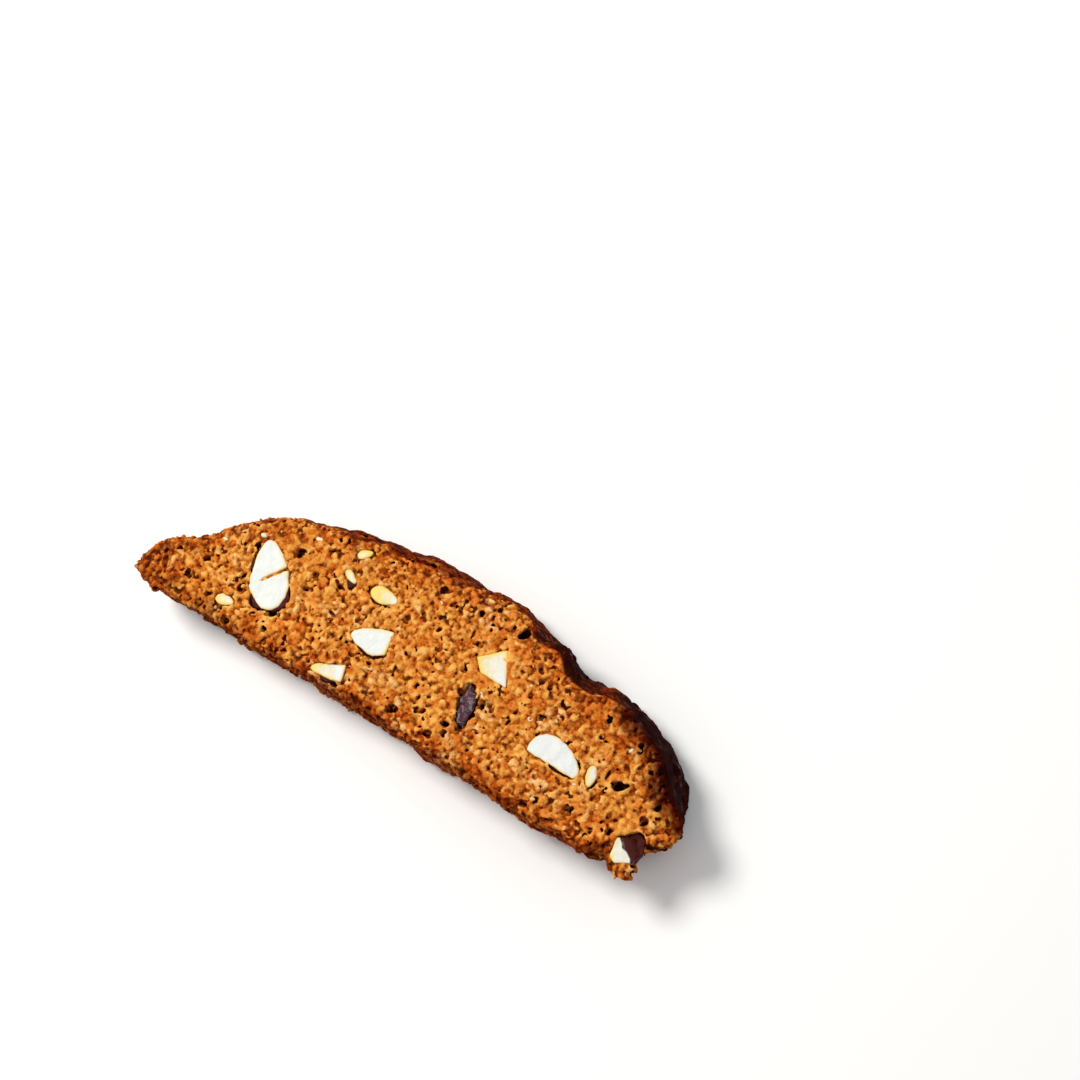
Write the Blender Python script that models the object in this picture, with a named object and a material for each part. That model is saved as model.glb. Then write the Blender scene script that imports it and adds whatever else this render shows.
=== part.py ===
"""An almond biscotto: one slice of a low domed loaf, baked twice, lying on its cut face.

Metres, +Z up. X runs along the loaf's flat base from the slice's thin end to its blunt end, +Y points
from the base to the crest of the dome, and the lower cut face is the plane z = 0. The origin is on that
face, under the middle of the slice. Places on a cut face are given as (x, height above the base).
"""

import math
from collections import namedtuple

import bmesh
import bpy
from mathutils import Matrix, Vector, noise

MM = 0.001

# The slice: driving dimensions
THICKNESS = 15.0 * MM
GAP = 0.3 * MM  # clearance round everything baked into the crumb
CREST_X = 0.4 * MM

# The outline on a cut face is four superellipse quarters that meet under the crest. Sizes are in mm.
Shape = namedtuple(
    "Shape", "thin_reach blunt_reach rise thin_tip blunt_tip dome_thin dome_blunt base_thin base_blunt"
)
UPPER_SHAPE = Shape(60.8, 57.3, 31.8, 1.6, 13.5, 1.76, 1.96, 7.0, 9.0)
LOWER_SHAPE = Shape(58.6, 57.2, 34.2, 3.0, 16.0, 2.2, 2.0, 4.0, 4.2)
CENTRE_HEIGHT = 17.0 * MM

OUTLINE_POINTS = 132
DENSE_POINTS = 720  # before the outline is spaced evenly

# Lumps and hollows of the edge (mm). reach is outward, and fade is how far in from the upper cut face
# a feature reaches.
EdgeFeature = namedtuple("EdgeFeature", "x height reach radius fade")
THROUGH = 1000.0
EDGE_FEATURES = {
    "thin_end_hollow": EdgeFeature(-51.5, 13.8, -2.4, 6.0, THROUGH),
    "thin_end_lump": EdgeFeature(-38.5, 23.5, 0.9, 5.0, THROUGH),
    "thin_end_foot": EdgeFeature(-54.0, 0.0, 1.4, 6.0, 9.0),
    "crest_nick": EdgeFeature(18.0, 30.0, -1.5, 2.2, THROUGH),
    "crest_lump": EdgeFeature(24.5, 30.5, 2.7, 3.6, 7.0),
    "shoulder_hollow": EdgeFeature(27.5, 31.0, -3.4, 6.5, THROUGH),
    "shoulder_nick": EdgeFeature(31.5, 27.0, -1.7, 3.0, THROUGH),
    "blunt_hollow": EdgeFeature(54.0, 18.0, -2.1, 4.0, 10.0),
    "blunt_lump": EdgeFeature(60.0, 11.5, 5.0, 3.6, 7.0),
    "corner_nick": EdgeFeature(58.4, 6.2, -1.3, 2.0, THROUGH),
    "corner_lump": EdgeFeature(55.6, 0.6, 1.5, 2.8, 5.0),
    "base_nick": EdgeFeature(49.7, 0.0, -2.1, 1.8, 12.0),
    "base_lump": EdgeFeature(37.0, 0.0, 0.5, 5.0, THROUGH),
    "base_hollow": EdgeFeature(-4.0, 0.0, -0.6, 9.0, THROUGH),
}

# The side wall from the lower to the upper cut face: share of the thickness, reach outward (mm)
WALL_PROFILE = ((0.0, -0.7), (0.06, 0.0), (0.35, 0.7), (0.68, 0.6), (0.94, 0.0), (1.0, -0.8))
BASE_FACE_HEIGHT = 3.0 * MM  # below this the wall is the loaf's flat base, which doesn't bulge
# The upper cut face: rings drawn in towards a spine inside the outline, as shares of the way out
FACE_RINGS = (0.955, 0.88, 0.76, 0.62, 0.47, 0.32, 0.17)
SPINE_ENDS = (-46.0 * MM, 44.0 * MM)
SPINE_HEIGHTS = (8.0 * MM, 14.0 * MM)

EDGE_ROUGHNESS = 0.45 * MM
EDGE_GRAIN = 7.0 * MM
FACE_ROUGHNESS = 0.5 * MM
FACE_GRAIN = 9.0 * MM
NOISE_OFFSET = Vector((3.7, 1.3, 8.1))
FINE_SHARE = 0.5  # the finer octave of the unevenness: its height and grain beside the coarse one's
FINE_GRAIN = 0.4

# Chopped almonds. Each starts as a whole kernel, its point at +X before its turn, that the knife cut
# level with the face and that broke along nearly upright planes. Sizes are in mm and turns in degrees,
# and a break is (direction from the middle, distance from the middle).
Almond = namedtuple("Almond", "x height length width depth turn breaks", defaults=((),))
UPPER_ALMONDS = {
    "almond_long_near": Almond(-34.9, 12.9, 14.4, 7.6, 4.2, 125.0, ((201.0, 0.1),)),
    "almond_long_far": Almond(-34.9, 12.9, 14.4, 7.6, 4.2, 125.0, ((17.5, -0.6),)),
    "almond_chip_thin_end": Almond(-39.8, 4.1, 4.2, 2.3, 1.6, 10.0),
    "almond_wedge": Almond(-7.6, 12.6, 13.0, 6.0, 3.4, 190.0, ((180.0, 1.7), (118.0, 2.3))),
    "almond_base_sliver": Almond(-12.4, 3.4, 10.0, 3.5, 2.0, 198.0, ((180.0, 2.0),)),
    "almond_crest_chip": Almond(-20.6, 26.0, 3.6, 1.8, 1.5, 42.0),
    "almond_chip_upper": Almond(-20.5, 20.8, 3.5, 1.7, 1.6, -24.0),
    "almond_cream": Almond(-12.4, 20.9, 6.2, 3.3, 2.6, 4.0),
    "almond_triangle": Almond(
        14.2, 20.5, 11.5, 10.5, 4.4, 100.0, ((36.0, 2.6), (-70.0, 2.25), (170.0, 2.65), (121.0, 3.3))
    ),
    "almond_lens": Almond(33.4, 11.3, 11.4, 7.4, 3.9, -5.0, ((-85.0, 1.45),)),
    "almond_sliver": Almond(41.2, 12.0, 4.3, 2.2, 2.4, -76.0),
    "almond_corner": Almond(53.6, 3.7, 7.6, 5.6, 4.6, -56.0, ((180.0, 2.6),)),
}
LOWER_ALMONDS = {
    "almond_under_long": Almond(-22.0, 13.0, 13.2, 6.8, 3.8, 24.0),
    "almond_under_wedge": Almond(18.5, 20.5, 12.4, 6.4, 3.6, -62.0, ((180.0, 1.8),)),
    "almond_under_half": Almond(37.5, 9.6, 10.2, 7.0, 3.9, 150.0, ((90.0, 1.4),)),
    "almond_under_thin_end": Almond(-42.5, 9.2, 6.6, 3.6, 2.4, 61.0),
    "almond_under_crest": Almond(-5.5, 27.0, 7.4, 4.0, 2.8, -14.0, ((0.0, 2.0),)),
    "almond_under_base": Almond(7.0, 4.8, 7.8, 3.4, 2.3, 8.0),
    "almond_under_chip": Almond(50.0, 20.0, 4.4, 2.6, 2.0, 35.0),
}
ALMOND_SEGMENTS = 14
ALMOND_RINGS = 8
KERNEL_TAPER = 0.28
BREAK_LEAN = math.radians(12)  # the break planes lean out of upright, so the pieces narrow with depth
ALMOND_SINK = 0.12 * MM  # how far a cut almond lies below the crumb round it

# One strip of dark dried fruit, sunk in the upper cut face
DRIED_FRUIT = Almond(13.5, 10.9, 9.8, 3.5, 2.8, -74.0)
FRUIT_SINK = 0.45 * MM
FRUIT_WRINKLE = 0.28 * MM
FRUIT_FOLD = 1.7 * MM

# Open pores deep enough to be part of the form
Pore = namedtuple("Pore", "x height length width depth turn")
DEEP_PORES = (
    Pore(46.9, 13.4, 3.6, 2.0, 3.6, 36.0),
    Pore(-32.0, 20.0, 2.6, 1.9, 2.6, 20.0),
    Pore(-47.9, 9.2, 2.3, 1.8, 1.9, 70.0),
    Pore(-43.4, 3.6, 2.0, 1.3, 1.6, 40.0),
    Pore(40.8, 4.6, 2.4, 1.4, 2.1, -15.0),
    Pore(49.6, 5.6, 1.9, 1.5, 2.2, 30.0),
    Pore(54.0, 9.6, 2.2, 1.5, 2.0, 70.0),
    Pore(1.3, 3.2, 2.8, 1.3, 1.8, 10.0),
    Pore(10.3, 3.0, 2.2, 1.5, 1.8, 10.0),
    Pore(17.2, 13.4, 2.8, 1.3, 1.8, -20.0),
    Pore(27.1, 16.6, 2.1, 1.3, 1.7, 25.0),
)
PORE_SEGMENTS = 8
PORE_RINGS = 6
CUTTER_RIM = 2.0 * MM  # how far a cutter stands out of the face that it opens

SHARP_EDGE = math.radians(35)
CUT_TOLERANCE = 0.0001 * MM

# Colour and roughness
BAKED_CRUMB = ((0.48, 0.18, 0.045, 1.0), 0.85)
ALMOND_FLESH = ((0.87, 0.82, 0.66, 1.0), 0.55)
DARK_FRUIT = ((0.05, 0.012, 0.014, 1.0), 0.4)


def clear_scene():
    for obj in list(bpy.data.objects):
        bpy.data.objects.remove(obj)


def material(name, colour, roughness):
    made = bpy.data.materials.new(name)
    made.use_nodes = True
    shader = made.node_tree.nodes["Principled BSDF"]
    shader.inputs["Base Color"].default_value = colour
    shader.inputs["Roughness"].default_value = roughness
    shader.inputs["Metallic"].default_value = 0.0
    return made


def object_from(bm, name, surface=None):
    """One object from a bmesh, which is freed. Its faces point out."""
    bmesh.ops.recalc_face_normals(bm, faces=bm.faces)
    mesh = bpy.data.meshes.new(name)
    bm.to_mesh(mesh)
    bm.free()
    mesh.shade_smooth()
    mesh.set_sharp_from_angle(angle=SHARP_EDGE)
    if surface:
        mesh.materials.append(surface)
    made = bpy.data.objects.new(name, mesh)
    bpy.context.scene.collection.objects.link(made)
    return made


def quarter_point(share, reach, rise, power):
    """A superellipse quarter: share 0 is its side end, and share 1 is under or over the centre."""
    angle = share * math.pi / 2
    return reach * math.cos(angle) ** (2 / power), rise * math.sin(angle) ** (2 / power)


def plain_outline(shape):
    """The smooth outline as (x, height) in metres, anticlockwise from the blunt end."""
    quarters = (
        (shape.blunt_reach, shape.rise - shape.blunt_tip, shape.blunt_tip, shape.dome_blunt, False),
        (-shape.thin_reach, shape.rise - shape.thin_tip, shape.thin_tip, shape.dome_thin, True),
        (-shape.thin_reach, -shape.thin_tip, shape.thin_tip, shape.base_thin, False),
        (shape.blunt_reach, -shape.blunt_tip, shape.blunt_tip, shape.base_blunt, True),
    )
    per_quarter = DENSE_POINTS // len(quarters)
    points = []
    for reach, rise, centre_height, power, backwards in quarters:
        for step in range(per_quarter):
            share = 1 - step / per_quarter if backwards else step / per_quarter
            x, height = quarter_point(share, reach, rise, power)
            points.append(Vector((CREST_X + x * MM, (centre_height + height) * MM)))
    return points


def evenly_spaced(points, count):
    """count points at equal distances along a closed line."""
    ends = points[1:] + points[:1]
    lengths = [(b - a).length for a, b in zip(points, ends)]
    step = sum(lengths) / count
    spaced, travelled, wanted = [], 0.0, 0.0
    for start, end, length in zip(points, ends, lengths):
        while wanted < travelled + length and len(spaced) < count:
            spaced.append(start.lerp(end, (wanted - travelled) / length))
            wanted += step
        travelled += length
    return spaced


def outward_normals(points):
    around = range(len(points))
    chords = [points[(i + 1) % len(points)] - points[i - 1] for i in around]
    return [Vector((chord.y, -chord.x)).normalized() for chord in chords]


def level_shape(share):
    """The shape at a share of the thickness, between the lower and the upper cut face."""
    return Shape(*(low + share * (high - low) for low, high in zip(LOWER_SHAPE, UPPER_SHAPE)))


def outline(share):
    """The outline at one level with its lumps, nicks and hollows, and its outward normals."""
    points = evenly_spaced(plain_outline(level_shape(share)), OUTLINE_POINTS)
    below_face = (1 - share) * THICKNESS
    shaped = []
    for point, normal in zip(points, outward_normals(points)):
        push = 0.0
        for feature in EDGE_FEATURES.values():
            middle = Vector((feature.x * MM, feature.height * MM))
            along = (point - middle).length / (feature.radius * MM)
            inward = below_face / (feature.fade * MM)
            push += feature.reach * MM * math.exp(-(along**2) - inward**2)
        shaped.append(point + normal * push)
    return shaped, outward_normals(shaped)


def unevenness(place, grain):
    """Smooth noise, about -1 to 1, with lumps about one grain across."""
    coarse = noise.noise(place / grain + NOISE_OFFSET)
    fine = noise.noise(place / (FINE_GRAIN * grain) - NOISE_OFFSET)
    return coarse + FINE_SHARE * fine


def wall_ring(share, reach):
    """One level of the side wall. The dome bulges, and the flat base doesn't."""
    ring = []
    for point, normal in zip(*outline(share)):
        dome = min(max(point.y / BASE_FACE_HEIGHT, 0.0), 1.0)
        pushed = min(reach, 0.0) + max(reach, 0.0) * dome
        place = Vector((point.x, point.y, share * THICKNESS))
        rough = EDGE_ROUGHNESS * unevenness(place, EDGE_GRAIN)
        flat = point + normal * (pushed * MM + rough)
        ring.append((flat.x, flat.y, share * THICKNESS))
    return ring


def spine_point(point):
    """The point of the spine that a face ring shrinks towards."""
    low, high = SPINE_ENDS
    x = min(max(point[0], low), high)
    share = (x - low) / (high - low)
    return x, SPINE_HEIGHTS[0] + share * (SPINE_HEIGHTS[1] - SPINE_HEIGHTS[0])


def face_ring(edge, share):
    """One ring of the upper cut face, with the shallow waves that the knife left."""
    ring = []
    for x, height, z in edge:
        inner_x, inner_height = spine_point((x, height))
        place = Vector((inner_x + share * (x - inner_x), inner_height + share * (height - inner_height), 0))
        wave = FACE_ROUGHNESS * unevenness(place, FACE_GRAIN)
        ring.append((place.x, place.y, z + min(wave, 0.0)))
    return ring


def slice_mesh():
    """The slice as a stack of rings: flat lower face, side wall, and a gently uneven upper face."""
    levels = [wall_ring(share, reach) for share, reach in WALL_PROFILE]
    levels += [face_ring(levels[-1], share) for share in FACE_RINGS]
    bm = bmesh.new()
    rings = [[bm.verts.new((x, height - CENTRE_HEIGHT, z)) for x, height, z in level] for level in levels]
    for lower, upper in zip(rings, rings[1:]):
        for i in range(OUTLINE_POINTS):
            after = (i + 1) % OUTLINE_POINTS
            bm.faces.new((lower[i], lower[after], upper[after], upper[i]))
    bm.faces.new(reversed(rings[0]))
    cap = bm.faces.new(rings[-1])
    bmesh.ops.triangulate(bm, faces=[cap])
    return bm


def kernel(length, width, depth, segments, rings):
    """A closed kernel round the origin, its point at +X and its thickness along Z."""
    bm = bmesh.new()
    bmesh.ops.create_uvsphere(bm, u_segments=segments, v_segments=rings, radius=1.0)
    bmesh.ops.rotate(bm, verts=bm.verts, matrix=Matrix.Rotation(math.pi / 2, 3, "Y"))
    for vert in bm.verts:
        taper = 1 - KERNEL_TAPER * vert.co.x
        vert.co = Vector((vert.co.x * length / 2, vert.co.y * taper * width / 2, vert.co.z * depth))
    return bm


def cut_away(bm, point, normal):
    """Removes what lies past a plane and closes the cut. Returns the new face."""
    geometry = bm.verts[:] + bm.edges[:] + bm.faces[:]
    cut = bmesh.ops.bisect_plane(
        bm, geom=geometry, plane_co=point, plane_no=normal, clear_outer=True, dist=CUT_TOLERANCE
    )["geom_cut"]
    edges = [item for item in cut if isinstance(item, bmesh.types.BMEdge)]
    return bmesh.ops.holes_fill(bm, edges=edges, sides=0)["faces"][0] if edges else None


def almond_mesh(almond, grow=0.0):
    """The part of a kernel under the knife's plane z = 0, broken along its planes.

    With grow it is the pocket for that piece: larger all round, and standing out of the face.
    """
    length = almond.length * MM + 2 * grow
    width = almond.width * MM + 2 * grow
    bm = kernel(length, width, almond.depth * MM + grow, ALMOND_SEGMENTS, ALMOND_RINGS)
    for direction, distance in almond.breaks:
        angle = math.radians(direction)
        away = Vector((math.cos(angle), math.sin(angle), 0))
        leaning = (away * math.cos(BREAK_LEAN) - Vector((0, 0, math.sin(BREAK_LEAN)))).normalized()
        cut_away(bm, away * (distance * MM + grow), leaning)
    top = cut_away(bm, Vector((0, 0, 0)), Vector((0, 0, 1)))
    if grow:
        raise_face(bm, top)
    return bm


def raise_face(bm, face):
    """Extrudes a cutter's top face out of the cut face that it opens."""
    raised = bmesh.ops.extrude_face_region(bm, geom=[face])["geom"]
    verts = [item for item in raised if isinstance(item, bmesh.types.BMVert)]
    bmesh.ops.translate(bm, verts=verts, vec=(0, 0, CUTTER_RIM))
    if face.is_valid:
        bmesh.ops.delete(bm, geom=[face], context="FACES_ONLY")


def settle(obj, spot, z, lower=False):
    """Puts a piece at its spot on a cut face. On the lower face it is turned over, its cut side down."""
    obj.location = Vector((spot.x * MM, spot.height * MM - CENTRE_HEIGHT, z))
    over = Matrix.Rotation(math.pi, 4, "X") if lower else Matrix.Identity(4)
    obj.rotation_euler = (Matrix.Rotation(math.radians(spot.turn), 4, "Z") @ over).to_euler()


def file_cutter(obj, cutters):
    """Keeps a cutter out of the model and with the others."""
    obj.hide_render = True
    obj.display_type = "WIRE"
    bpy.context.scene.collection.objects.unlink(obj)
    cutters.objects.link(obj)


def add_pocketed(name, bm, spot, z, surface, cutters, lower=False):
    """A piece made from bm, and the pocket that holds it."""
    settle(object_from(bm, name, surface), spot, z, lower)
    pocket = object_from(almond_mesh(spot, GAP), name + "_pocket")
    settle(pocket, spot, z, lower)
    file_cutter(pocket, cutters)


def add_almonds(surface, cutters):
    for name, almond in UPPER_ALMONDS.items():
        add_pocketed(name, almond_mesh(almond), almond, THICKNESS - ALMOND_SINK, surface, cutters)
    for name, almond in LOWER_ALMONDS.items():
        add_pocketed(name, almond_mesh(almond), almond, ALMOND_SINK, surface, cutters, lower=True)


def add_dried_fruit(surface, cutters):
    """A wrinkled strip that is a little smaller than its pocket."""
    bm = almond_mesh(DRIED_FRUIT)
    shrink = FRUIT_WRINKLE / (DRIED_FRUIT.width * MM)
    for vert in bm.verts:
        vert.co *= 1 - shrink * (1 + noise.noise(vert.co / FRUIT_FOLD + NOISE_OFFSET))
    add_pocketed("dried_fruit", bm, DRIED_FRUIT, THICKNESS - FRUIT_SINK, surface, cutters)


def add_pore_cutters(cutters):
    """Blunt pits that open the upper face."""
    for number, pore in enumerate(DEEP_PORES, 1):
        bm = kernel(pore.length * MM, pore.width * MM, pore.depth * MM, PORE_SEGMENTS, PORE_RINGS)
        raise_face(bm, cut_away(bm, Vector((0, 0, 0)), Vector((0, 0, 1))))
        pit = object_from(bm, f"pore_{number}")
        settle(pit, pore, THICKNESS)
        file_cutter(pit, cutters)


def add_slice(surface, cutters):
    """The baked slice, with its pockets and pores cut out."""
    body = object_from(slice_mesh(), "slice", surface)
    cut = body.modifiers.new("Pockets", "BOOLEAN")
    cut.operation = "DIFFERENCE"
    cut.operand_type = "COLLECTION"
    cut.collection = cutters
    cut.solver = "EXACT"


def main():
    clear_scene()
    crumb = material("baked_crumb", *BAKED_CRUMB)
    almond = material("almond", *ALMOND_FLESH)
    fruit = material("dried_fruit", *DARK_FRUIT)
    cutters = bpy.data.collections.new("cutters")
    bpy.context.scene.collection.children.link(cutters)
    add_almonds(almond, cutters)
    add_dried_fruit(fruit, cutters)
    add_pore_cutters(cutters)
    add_slice(crumb, cutters)


main()
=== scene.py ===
"""Looks for an almond biscotto: torn crumb, crust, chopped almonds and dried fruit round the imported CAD.

Field code works in millimetres, in the part's own frame. What goes to Blender is in metres.
"""

import itertools
import math
from collections import namedtuple
from functools import partial

import bmesh
import bpy
import numpy as np
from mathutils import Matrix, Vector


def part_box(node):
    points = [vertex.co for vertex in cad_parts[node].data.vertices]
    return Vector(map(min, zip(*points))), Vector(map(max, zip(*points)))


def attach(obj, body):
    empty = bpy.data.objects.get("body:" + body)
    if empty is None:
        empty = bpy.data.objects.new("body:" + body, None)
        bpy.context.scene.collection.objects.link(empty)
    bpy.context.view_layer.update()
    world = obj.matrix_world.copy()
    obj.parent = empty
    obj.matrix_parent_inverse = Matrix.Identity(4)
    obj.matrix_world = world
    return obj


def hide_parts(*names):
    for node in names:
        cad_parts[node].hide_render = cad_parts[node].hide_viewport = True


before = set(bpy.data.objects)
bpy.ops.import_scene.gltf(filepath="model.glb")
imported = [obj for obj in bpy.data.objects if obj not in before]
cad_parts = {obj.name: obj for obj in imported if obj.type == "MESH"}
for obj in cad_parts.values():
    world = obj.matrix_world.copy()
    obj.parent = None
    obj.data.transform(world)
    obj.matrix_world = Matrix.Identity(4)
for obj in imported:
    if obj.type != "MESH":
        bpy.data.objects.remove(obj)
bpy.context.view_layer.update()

import openvdb as vdb
from bpy.props import FloatProperty, FloatVectorProperty, PointerProperty
from mathutils import Quaternion, Vector

bl_info = {
    "name": "Almond Biscotto",
    "version": (1, 0, 0),
    "blender": (4, 5, 0),
    "location": "3D View > Sidebar > Biscotto",
    "description": "Bakes the rough crumb, crust, almonds and fruit of one biscotto slice, and its stage",
    "category": "Object",
}

MM = 0.001
SEED = 20  # each operator adds its own number to it

# The slice, in mm. Heights are above the loaf's flat base, as in the CAD.
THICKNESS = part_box("slice")[1].z / MM
BASE_Y = -17.0
ALMONDS = sorted(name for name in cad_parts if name.startswith("almond_"))
FRUIT = "dried_fruit"
RING_LEVELS = (0.9, 5.25, 10.2, 14.1)  # the rings of points round the CAD wall
CLEAN_LEVEL = RING_LEVELS[2]  # where the points follow each other most plainly
LEVEL_TOLERANCE = 0.002

PIECE_TRIANGLES = 194_000  # the most for each half of the slice
REACH = 3.2  # how far from the surface distances are worked out
SLICE_ROOM, ROOM = 2.0, 0.8  # left round the slice and round an almond for their relief


# Settings

Colour = partial(FloatVectorProperty, min=0.0, max=1.0, subtype="COLOR")
Length = partial(FloatProperty, min=0.0, precision=5, unit="LENGTH")


class BiscottoCrumbSettings(bpy.types.PropertyGroup):
    cell: Length(
        name="Grid Cell", description="Size of the cells that the crumb is cut from", default=0.24 * MM,
        min=0.1 * MM,
    )
    clump_height: Length(
        name="Clump Height", description="How far the torn clumps stand out or in", default=0.2 * MM
    )
    grain_height: Length(
        name="Grain Height", description="How far the rounded grains stand out", default=0.38 * MM
    )
    pore_radius: Length(
        name="Pore Radius", description="Middle radius of the open pores", default=0.27 * MM
    )
    pores: FloatProperty(
        name="Pores", description="Open pores in each cubic millimetre under the cut faces", default=0.3,
        min=0.0,
    )
    granules: FloatProperty(
        name="Granules", description="Small raised crumbs on each square millimetre of the cut faces",
        default=0.7, min=0.0,
    )
    # Pit, toasted, golden and pale are stops along one ramp. Tone and toast move the crumb along it, and so
    # does painted shade: darker in hollows, creases and pores, paler on raised grains
    pale: Colour(
        name="Pale Crumb", description="Colour of the driest raised grains", default=(0.87, 0.43, 0.095)
    )
    golden: Colour(
        name="Golden Crumb", description="Main colour of the crumb", default=(0.635, 0.213, 0.025)
    )
    toasted: Colour(
        name="Toasted Crumb", description="Colour between the grains and near the crust",
        default=(0.36, 0.085, 0.010),
    )
    pit: Colour(name="Pit", description="Colour down in the pores", default=(0.12, 0.026, 0.005))
    red_tint: Colour(
        name="Red Tint", description="What turns the redder grains redder", default=(0.86, 0.56, 0.4)
    )
    dry_tint: Colour(
        name="Dry Tint", description="What turns the drier grains to straw", default=(1.0, 1.25, 2.4),
        max=4.0,
    )


class BiscottoCrustSettings(bpy.types.PropertyGroup):
    brown: Colour(
        name="Brown Crust", description="What darkens the crumb on the thin crust over the crest",
        default=(0.52, 0.35, 0.32),
    )
    scorch: Colour(
        name="Scorch", description="What darkens the crumb beside the dark crust",
        default=(0.13, 0.04, 0.045),
    )
    # The dark crust is made darker than the crust's own colour, so it also paints the shade that the blunt
    # end lies in
    dark: Colour(
        name="Dark Crust", description="Colour of the thick glossy crust at the blunt end",
        default=(0.017, 0.0024, 0.0016),
    )
    base: Colour(
        name="Base Crust", description="What darkens the crumb on the flat base that lay on the tray",
        default=(0.36, 0.22, 0.24),
    )
    wrinkle: Length(name="Wrinkle Height", description="Height of the crust's waves", default=0.28 * MM)


class BiscottoAlmondSettings(bpy.types.PropertyGroup):
    cell: Length(
        name="Grid Cell", description="Size of the cells that the almonds are cut from", default=0.17 * MM,
        min=0.08 * MM,
    )
    flesh: Colour(name="Flesh", description="Colour of cut almond flesh", default=(0.76, 0.785, 0.765))
    cream: Colour(
        name="Cream", description="Colour of flesh toasted at its edges", default=(0.82, 0.64, 0.17)
    )
    skin: Colour(
        name="Skin", description="Colour of the almonds' brown skin", default=(0.04, 0.007, 0.006)
    )
    fruit: Colour(
        name="Dried Fruit", description="Colour of the dried fruit", default=(0.035, 0.009, 0.015)
    )


class BiscottoStageSettings(bpy.types.PropertyGroup):
    azimuth: FloatProperty(
        name="Azimuth", description="Camera's turn about the slice", default=math.radians(59.152),
        subtype="ANGLE",
    )
    elevation: FloatProperty(
        name="Elevation", description="Camera's height over the horizon", default=math.radians(69.142),
        subtype="ANGLE",
    )
    roll: FloatProperty(
        name="Roll", description="Camera's tilt about its own axis", default=math.radians(-27.506),
        subtype="ANGLE",
    )
    distance: FloatProperty(
        name="Distance", description="Camera's distance from its target", default=384.84 * MM, min=0.0,
        unit="LENGTH",
    )
    lens: FloatProperty(name="Lens", description="Focal length in millimetres", default=66.7, min=1.0)
    key_power: FloatProperty(
        name="Key Light", description="Power of the soft key light in watts", default=4.8, min=0.0
    )
    fill: FloatProperty(
        name="Fill Light", description="Strength of the white surroundings", default=0.55, min=0.0
    )
    floor: Colour(name="Floor", description="Colour of the pale floor", default=(0.96, 0.96, 0.96))


# Blocks of cells, and the shapes cut from them


def smooth_step(low, high, values):
    """0 up to low, 1 from high on, and smooth between them. Low may be the larger of the two."""
    share = np.clip((values - low) / (high - low), 0.0, 1.0)
    return share * share * (3 - 2 * share)


def hill(value, middle, reach):
    """1 at the middle, fading to 0 about two reaches away."""
    return np.exp(-(((value - middle) / reach) ** 2))


def box_of(name):
    """The low and high corners (mm) of a CAD node."""
    return tuple(np.array(corner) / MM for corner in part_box(name))


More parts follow.
